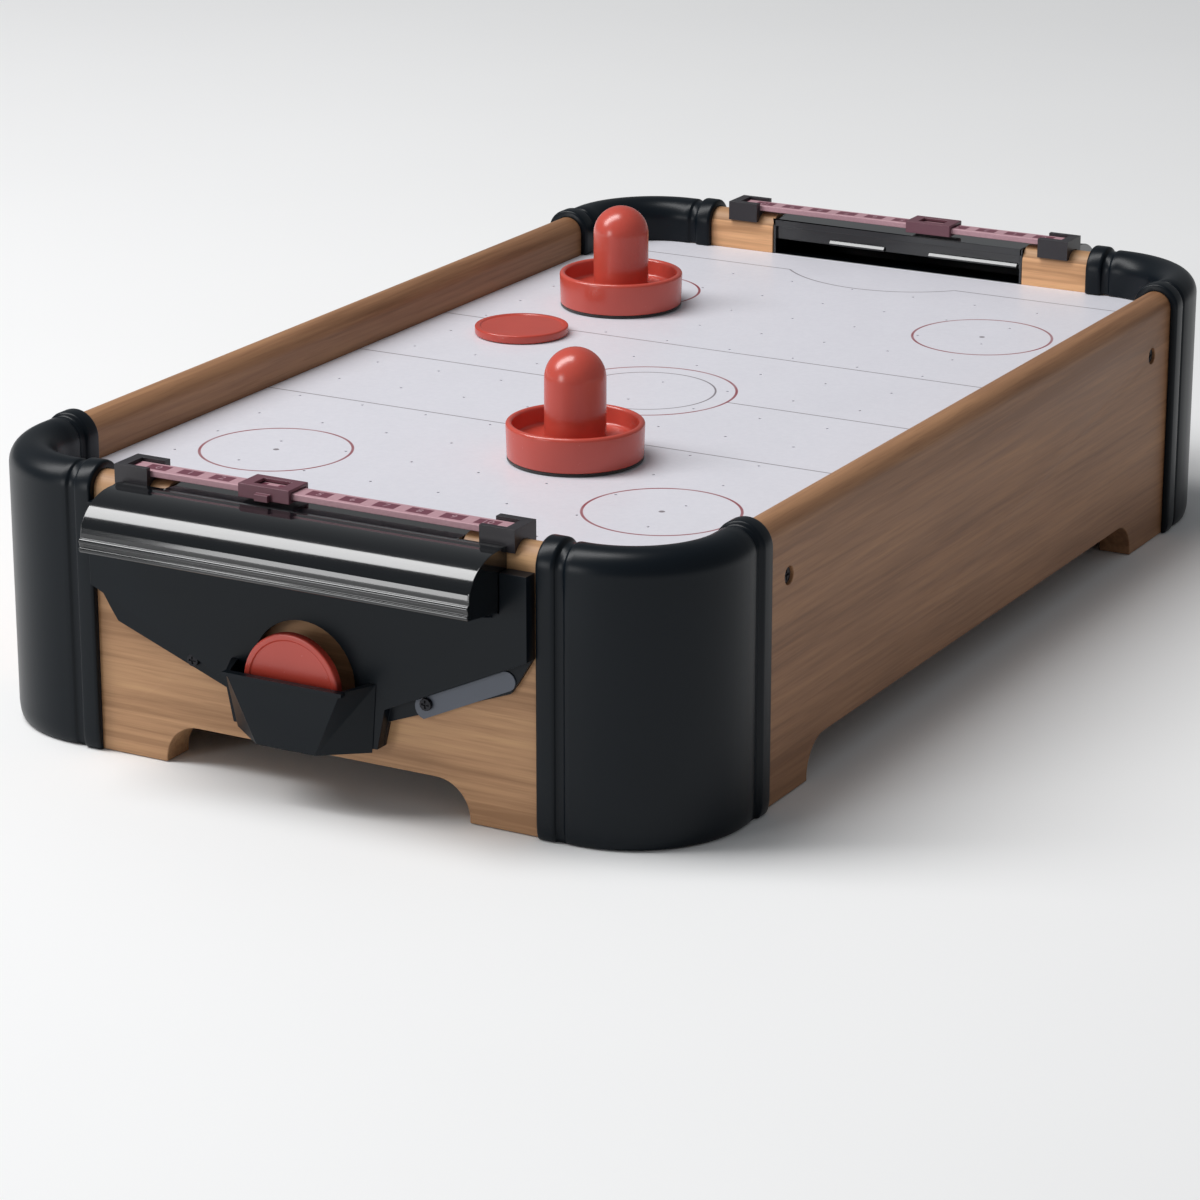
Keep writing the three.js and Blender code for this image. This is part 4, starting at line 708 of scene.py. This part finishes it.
def hood_outside():
    """(out, height) from the rail over the brow to the lip's upper bead, hollow and lower bead."""
    ridge = RIDGE + (0, hood_top)
    brow = bezier([(BROW_FROM, hood_top), *((hood_reach, hood_top) - BROW)], 49)
    upper = arc((hood_reach - BEAD, lip_bottom + SECOND_BEAD), BEAD, 90, -60, 12)
    lower = arc((hood_reach - BEAD, lip_bottom + BEAD), BEAD, 60, -90, 12)
    return np.vstack([ridge, brow, upper, lower])


def hood_inside():
    """The same curve a wall's thickness further in, from the lip back to the rail."""
    front, top = hood_reach - HOOD_WALL, hood_top - HOOD_WALL
    curve = bezier([(FIT, top), *((front, top) - UNDER_BROW)], 33)
    return np.vstack([curve, [[front - LIP_EXTRA, lip_bottom]]])[::-1]


def goal_hood(end, way):
    """Shell, two cheeks and the lining of the mouth. way is -1 at the front and 1 at the rear."""
    def at(outline, base=END_FACE):
        return [(way * (base + out), z) for out, z in outline]

    outside = hood_outside()
    section = at(np.vstack([outside, hood_inside()]))
    shell = extruded(section, -hood_half + CHEEK_PROUD, hood_half - CHEEK_PROUD)
    cheek = at(np.vstack([outside[::2], [(CHEEK_FOOT, hood_seat), (FIT, hood_seat)]]))
    cheeks = [extruded(cheek, x, x + HOOD_WALL) for x in (-hood_half, hood_half - HOOD_WALL)]
    liner = GOAL_HALF - FIT
    back, front = sorted((way * (END_FACE - BOARD + FIT), way * (END_FACE + LINING_PROUD)))
    sill_low = FIELD_TOP - SILL_DROP
    apron = END_FACE - BOARD + FIT + APRON_BACK
    near, far = sorted((way * apron, way * (apron + LINING_WALL)))
    rib = at(RIB + (0, FIELD_TOP), apron)
    ribs = [extruded(rib, *sorted((way * a, way * b))) for a, b in RIB_RUNS]
    lining = [
        bar((-liner, near, FIELD_TOP + APRON_LOW), (liner, far, hood_top - 3 * MM)),
        bar((-liner, back, hood_top - ROOF_WALL), (liner, front, hood_top)),
        bar((-liner, back, sill_low), (liner, front, FIELD_TOP)),
        bar((-liner, back, sill_low), (-liner + LINING_WALL, front, hood_top)),
        bar((liner - LINING_WALL, back, sill_low), (liner, front, hood_top)),
    ]
    points, faces = together(shell, *cheeks, *ribs, *lining)
    made = piece(f"goal_hood_{end}_moulding", points, faces, f"goal_hood_{end}", degrees=38)
    return round_edges(made, 0.3, 50)


for end, way in (("front", -1), ("rear", 1)):
    hood = goal_hood(end, way)
    print(hood.name, len(hood.data.polygons), "faces")

# %% [markdown]
# ## Playing field
# The field is a flat board with rounded corners and 126 air holes. Cutting each hole with a
# Boolean would be slow and leave slivers. A flat curve with one closed outline and a circle per
# hole fills itself cleanly and gets its thickness from the curve's extrude value.
# %% Playing field

HOLE_RADIUS = 0.6 * MM
HOLE_PITCH = 30 * MM
field_half = (field_box[1].x, field_box[1].y)
field_corner = field_half[0] - CORNER_X
hole_x = np.arange(-4, 5) * HOLE_PITCH
hole_y = (np.arange(-7, 7) + 0.5) * HOLE_PITCH


def rounded_rectangle(half_x, half_y, radius, count=12):
    """Four quarter arcs about the corners' centres, anticlockwise from the lower right one."""
    corners = ((1, -1, -90), (1, 1, 0), (-1, 1, 90), (-1, -1, 180))
    return np.vstack([
        arc((sx * (half_x - radius), sy * (half_y - radius)), radius, start, start + 90, count)
        for sx, sy, start in corners])


def flat_plate(name, loops, low, high):
    """A plate between two heights, its outline and holes given as loops of (x, y)."""
    curve = bpy.data.curves.new(name, "CURVE")
    curve.dimensions = "2D"
    curve.fill_mode = "BOTH"
    curve.extrude = (high - low) / 2
    for loop in loops:
        spline = curve.splines.new("POLY")
        spline.points.add(len(loop) - 1)
        flat = np.column_stack([loop, np.zeros(len(loop)), np.ones(len(loop))])
        spline.points.foreach_set("co", flat.ravel())
        spline.use_cyclic_u = True
    return curve_mesh(curve, Matrix.Translation((0, 0, (low + high) / 2)))


rim = rounded_rectangle(*field_half, field_corner)
holes = [arc((x, y), HOLE_RADIUS, 0, 330, 12) for x in hole_x for y in hole_y]
plate = flat_plate("playfield_outline", [rim, *holes], field_box[0].z, FIELD_TOP)
field = piece("playfield_board", *plate, "playfield", degrees=30)
print(field.name, len(holes), "holes,", len(field.data.polygons), "faces")

# %% [markdown]
# ## Strikers, felts and pucks
# These are turned shapes, so a profile spun about the vertical axis makes each one exactly. The
# striker's profile runs from the hollow inside of its knob, down and out under the base, up round
# the rim, over the dish and a fillet, and up the knob to its dome.
# %% Strikers, felts and pucks

# All in mm. The base leans in by the draft towards its foot, and so does the rim's inner side.
BASE_RADIUS, BASE_HEIGHT = 27.1, 13.9
KNOB_RADIUS, STRIKER_HEIGHT = 12.1, 43
RIM, DISH, FILLET, STRIKER_WALL = 1.3, 7.4, 1.6, 2.0
DRAFT, FOOT_ROUND, DISH_ROUND = 0.4, 0.5, 1.2
PUCK_RADIUS, PUCK_HALF, PUCK_ROUND = 20.2, 1.8, 0.7
PUCK_RIM, PUCK_STEP, PUCK_SLOPE = 2.2, 0.35, 0.5
FELT_LOW_EDGE, FELT_HIGH_EDGE = 0.3, 0.2


def striker_profile():
    """(radius, height) in mm, from the axis inside to the axis on top."""
    dish = BASE_HEIGHT - DISH
    dome = STRIKER_HEIGHT - KNOB_RADIUS
    inner, hollow = KNOB_RADIUS - STRIKER_WALL, BASE_RADIUS - STRIKER_WALL
    foot = BASE_RADIUS - DRAFT - FOOT_ROUND
    corner = BASE_RADIUS - 2 * RIM - DRAFT - DISH_ROUND
    return np.vstack([
        arc((0, dome), inner, 90, 0, 13),
        [[inner, dish - STRIKER_WALL], [hollow, dish - STRIKER_WALL], [hollow, 0], [foot, 0]],
        arc((foot, FOOT_ROUND), FOOT_ROUND, -90, 0, 4),
        arc((BASE_RADIUS - RIM, BASE_HEIGHT - RIM), RIM, 0, 170, 13),
        arc((corner, dish + DISH_ROUND), DISH_ROUND, 0, -90, 6),
        arc((KNOB_RADIUS + FILLET, dish + FILLET), FILLET, 270, 180, 8),
        arc((0, dome), KNOB_RADIUS, 0, 90, 21),
    ])


def puck_profile():
    """A flat disc with rounded edges. Both faces lie a small step below a raised rim."""
    rim, low = PUCK_RADIUS - PUCK_RIM, PUCK_HALF - PUCK_STEP
    upper = np.vstack([
        arc((PUCK_RADIUS - PUCK_ROUND, PUCK_HALF - PUCK_ROUND), PUCK_ROUND, 0, 90, 6),
        [[rim, PUCK_HALF], [rim - PUCK_SLOPE, low], [0, low]],
    ])
    return np.vstack([upper[::-1] * [1, -1], upper])


def felt_profile(radius, thick):
    """A disc with a small bevel at its lower and its upper edge."""
    low, high = FELT_LOW_EDGE, FELT_HIGH_EDGE
    return [(0, 0), (radius - low, 0), (radius, low), (radius, thick - high),
            (radius - high, thick), (0, thick)]


for end in ("front", "rear"):
    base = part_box(f"striker_{end}")[0]
    centre = middle(f"striker_{end}")
    spun = turned_profile(striker_profile(), (centre.x, centre.y, base.z))
    piece(f"striker_{end}_moulding", *spun, f"striker_{end}", degrees=50)
    low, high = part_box(f"striker_felt_{end}")
    pad = felt_profile((high.x - low.x) / 2 / MM, (high.z - low.z) / MM)
    pad = turned_profile(pad, (centre.x, centre.y, low.z), 64)
    piece(f"felt_pad_{end}", *pad, f"striker_felt_{end}")

disc = turned_profile(puck_profile(), (0, 0, 0))
piece("puck_on_field", disc[0] + middle("puck_field"), disc[1], "puck_field", puck_styrene)
stood = disc[0] @ np.array([[1, 0, 0], [0, 0, 1], [0, -1, 0]])
piece("puck_standing", stood + middle("puck_in_tray"), disc[1], "puck_in_tray", puck_styrene)
print("two strikers, two felts, two pucks")

# %% [markdown]
# ## Boards, chutes, trays and small parts
# The shapes of these parts are already right in CAD, apart from their knife edges. A copy of each
# mesh is merged, its flat faces are dissolved back into single faces, and a Bevel rounds what is
# left by the radius that the real part has: half a millimetre on foil-wrapped board, a third on
# stamped or moulded detail.
# %% Eased copies


def eased(name, radius_mm, material=None, degrees=30):
    """A merged copy of a CAD node with its edges rounded. A radius of 0 leaves them."""
    mesh = NODES[name].data.copy()
    mesh.name = name + "_shape"
    work = bmesh.new()
    work.from_mesh(mesh)
    bmesh.ops.remove_doubles(work, verts=work.verts, dist=0.005 * MM)
    bmesh.ops.dissolve_limit(
        work, angle_limit=math.radians(1), verts=work.verts, edges=work.edges)
    work.to_mesh(mesh)
    work.free()
    smooth(mesh, degrees)
    made = settle(bpy.data.objects.new(name + "_eased", mesh), name, material)
    return round_edges(made, radius_mm, degrees) if radius_mm else made


for side in ("left", "right"):
    eased(f"side_panel_{side}", 0.5)
    eased(f"side_cleat_{side}", 0.4)
for end in ("front", "rear"):
    eased(f"end_panel_{end}", 0.5, end_foil)
    eased(f"end_cleat_{end}", 0.4)
    eased(f"puck_chute_{end}", 0.45)
    eased(f"puck_tray_{end}", 0.5)
    eased(f"score_strip_{end}", 0.35)
    eased(f"score_slider_{end}", 0.3, wine_abs)
    for side in ("left", "right"):
        eased(f"score_bracket_{end}_{side}", 0.6)
        eased(f"chute_screw_{end}_{side}", 0.2, dark_screw_steel)
        # The side screws' dark colour is painted shade for their recessed holes.
        eased(f"side_screw_{side}_{end}", 0.25, dark_screw_steel)
RADII = {
    "chamber_base": 0.3, "fan_housing": 0.3, "motor_can": 0.8, "motor_shaft": 0.2, "impeller": 0.2,
    "battery_box": 0.6, "battery_cover": 0.4, "battery_1": 0.5, "battery_2": 0.5,
    "battery_3": 0.5, "battery_4": 0.5, "contact_plate_inner": 0.15, "contact_plate_outer": 0.15,
    "switch_body": 0.4, "switch_rocker": 0.5,
}
for name, radius in RADII.items():
    eased(name, radius)
for name in ("wire_battery_to_switch", "wire_switch_to_motor", "wire_battery_to_motor"):
    eased(name, 0, degrees=50)
print("eased copies made")

# %% [markdown]
# ## Flange tabs
# On each chute's right flange a raised tab runs from the screw outwards, in a lighter grey that is
# a painted highlight, standing in for the light the flange catches. The tab follows the flange's
# slanted edge and has a rounded outer end. It is drawn as a flat outline (along, below the edge),
# then turned to the edge's slope.
# %% Flange tabs

# All in mm: two points (x, z) of the edge that the tab lies under, its straight part along that
# edge, its middle line and half its width below the edge, and the shallow arc that starts it.
EDGE_LOW, EDGE_HIGH = (34.3, 39.8), (93.2, 67.3)
TAB_START, TAB_END = 12, 51.5
TAB_MIDDLE, TAB_HALF = 4.2, 3.7
ARC_AT, ARC_RADIUS = 15, 4.8
TAB_DEEP, TAB_PROUD = 0.6 * MM, 2.9 * MM
slope = math.atan2(EDGE_HIGH[1] - EDGE_LOW[1], EDGE_HIGH[0] - EDGE_LOW[0])


def flange_tab(end, way):
    """Outline (s, w) to x = x0 + s cos a + w sin a, z = z0 + s sin a - w cos a, made thick."""
    near, far = TAB_MIDDLE - TAB_HALF, TAB_MIDDLE + TAB_HALF
    outline = np.vstack([
        [[TAB_START, near], [TAB_END - 0.5, near]],
        arc((TAB_END, TAB_MIDDLE), TAB_HALF, -90, 90, 12), [[TAB_START, far]],
        arc((ARC_AT, TAB_MIDDLE), ARC_RADIUS, 130, 230, 6)])
    s, w = outline.T
    x = (EDGE_LOW[0] + s * math.cos(slope) + w * math.sin(slope)) * MM
    z = (EDGE_LOW[1] + s * math.sin(slope) - w * math.cos(slope)) * MM
    flat = np.column_stack([-way * x, z])
    points, faces = extruded(flat, END_FACE + TAB_DEEP, END_FACE + TAB_PROUD)
    points = points[:, [1, 0, 2]] * (1, way, 1)
    chute = f"puck_chute_{end}"
    # The tab's grey is a painted highlight where the flange catches the light.
    made = piece(f"flange_tab_{end}", points, faces, chute, tab_sheen_abs, instead=False)
    return round_edges(made, 0.5)


for end, way in (("front", -1), ("rear", 1)):
    print(flange_tab(end, way).name)

# %% [markdown]
# ## Numbers on the score strips
# Plain numbers from 0 to 10 are printed in the strip's boxes. Text is drawn as a curve, made a
# mesh, and only then turned and moved into its box, so that the object itself stays at the origin.
# %% Score numbers

number_ink = moulding("pale_pink_ink", "#b8929c", 0.5, 0.1, 0.5, 0.005)
NUMBER_HEIGHT = 3.4 * MM
INK_HALF, INK_LIFT = 0.03 * MM, 0.02 * MM
DIGIT = 0.7  # a digit's height in a text of size 1
THICK_TEXT = 0.02


def number_mesh(text, centre, turn, top):
    """A number's shape, scaled to the digits' height, turned and put on the strip."""
    curve = bpy.data.curves.new("number_" + text, "FONT")
    curve.body = text
    curve.align_x = "CENTER"
    curve.align_y = "CENTER"
    curve.extrude = THICK_TEXT
    curve.resolution_u = 3
    scale = NUMBER_HEIGHT / DIGIT
    size = Matrix.Diagonal((scale, scale, INK_HALF / THICK_TEXT, 1))
    place = Matrix.Translation((*centre, top + INK_LIFT))
    return curve_mesh(curve, place @ Matrix.Rotation(turn, 4, "Z") @ size)


def score_numbers(end, way):
    """Numbers 0 to 10 in the boxes, upright for a player at this end."""
    strip = f"score_strip_{end}"
    top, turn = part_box(strip)[1].z, 0 if way < 0 else math.pi
    points, faces = together(*[
        number_mesh(str(i), (-way * (i - 5) * BOX_PITCH, way * strip_mid), turn, top)
        for i in range(11)])
    return piece(f"score_numbers_{end}", points, faces, strip, number_ink, instead=False)


for end, way in (("front", -1), ("rear", 1)):
    print(score_numbers(end, way).name)

# %% [markdown]
# ## Studio
# The game stands on a pale floor under soft light. A softbox 3.2 m long hangs over its left side,
# and its mirror image is the broad band on the goal hood. It leaves the right side in open shade.
# A small weak one in front opens up the end board. The camera looks down at 18 degrees from
# beyond the right front corner.
# %% Studio

FLOOR_REACH, FLOOR_GAP = 12.0, 0.3 * MM


def softbox(name, spot, target, size, watts):
    """A rectangular area light at spot, its face towards target. Its size is (width, length)."""
    light = bpy.data.lights.new(name, "AREA")
    light.shape = "RECTANGLE"
    light.size, light.size_y = size
    light.energy = watts
    made = bpy.data.objects.new(name, light)
    made.location = spot
    made.rotation_euler = (Vector(target) - Vector(spot)).to_track_quat("-Z", "Y").to_euler()
    bpy.context.scene.collection.objects.link(made)


def pale_floor():
    """A very large plane just below the feet: matt paper with a faint mottle 330 mm across."""
    material, tree, shader = finish("matt_paper_floor", Specular_IOR_Level=0.2)
    mottle = node(tree, "TexNoise", {"Vector": on_part(tree), "Scale": 3.0, "Detail": 3.0})
    colour = node(tree, "Mix", {0: mottle, 6: "#f6f6f6", 7: "#f1f1f1"}, out=2, data_type="RGBA")
    lay(tree, shader, colour, node(tree, "MapRange", mottle, 0.0, 1.0, 0.85, 0.95), mottle, 0.05)
    mesh = bpy.data.meshes.new("floor")
    around = ((-1, -1), (1, -1), (1, 1), (-1, 1))
    corners = [(x * FLOOR_REACH, y * FLOOR_REACH, 0) for x, y in around]
    mesh.from_pydata(corners, [], [(0, 1, 2, 3)])
    mesh.materials.append(material)
    made = bpy.data.objects.new("floor", mesh)
    made.location.z = -FLOOR_GAP
    bpy.context.scene.collection.objects.link(made)


world = bpy.data.worlds.new("soft_room")
bpy.context.scene.world = world
world.use_nodes = True
sky = world.node_tree.nodes["Background"]
sky.inputs[0].default_value = (0.94, 0.97, 1.0, 1)
sky.inputs[1].default_value = 0.22
softbox("long_softbox", (-1.45, -0.8, 2.65), (0, 0, 0.1), (1.1, 3.2), 104)
softbox("front_softbox", (-1.3, -2.9, 0.5), (0, 0, 0.05), (0.8, 0.9), 15)
pale_floor()
bpy.context.scene.view_settings.view_transform = "Standard"

camera = bpy.data.cameras.new("camera")
camera.lens = 125.5
camera.sensor_width = 36
camera.clip_start, camera.clip_end = 0.05, 60
holder = bpy.data.objects.new("camera", camera)
holder.location = (0.785, -1.458, 0.5481)
yaw, pitch = math.radians(28.95), math.radians(18.3)
holder.rotation_euler = (math.pi / 2 - pitch, 0, yaw)
bpy.context.scene.collection.objects.link(holder)
bpy.context.scene.camera = holder
print("camera at", [round(v, 3) for v in holder.location])
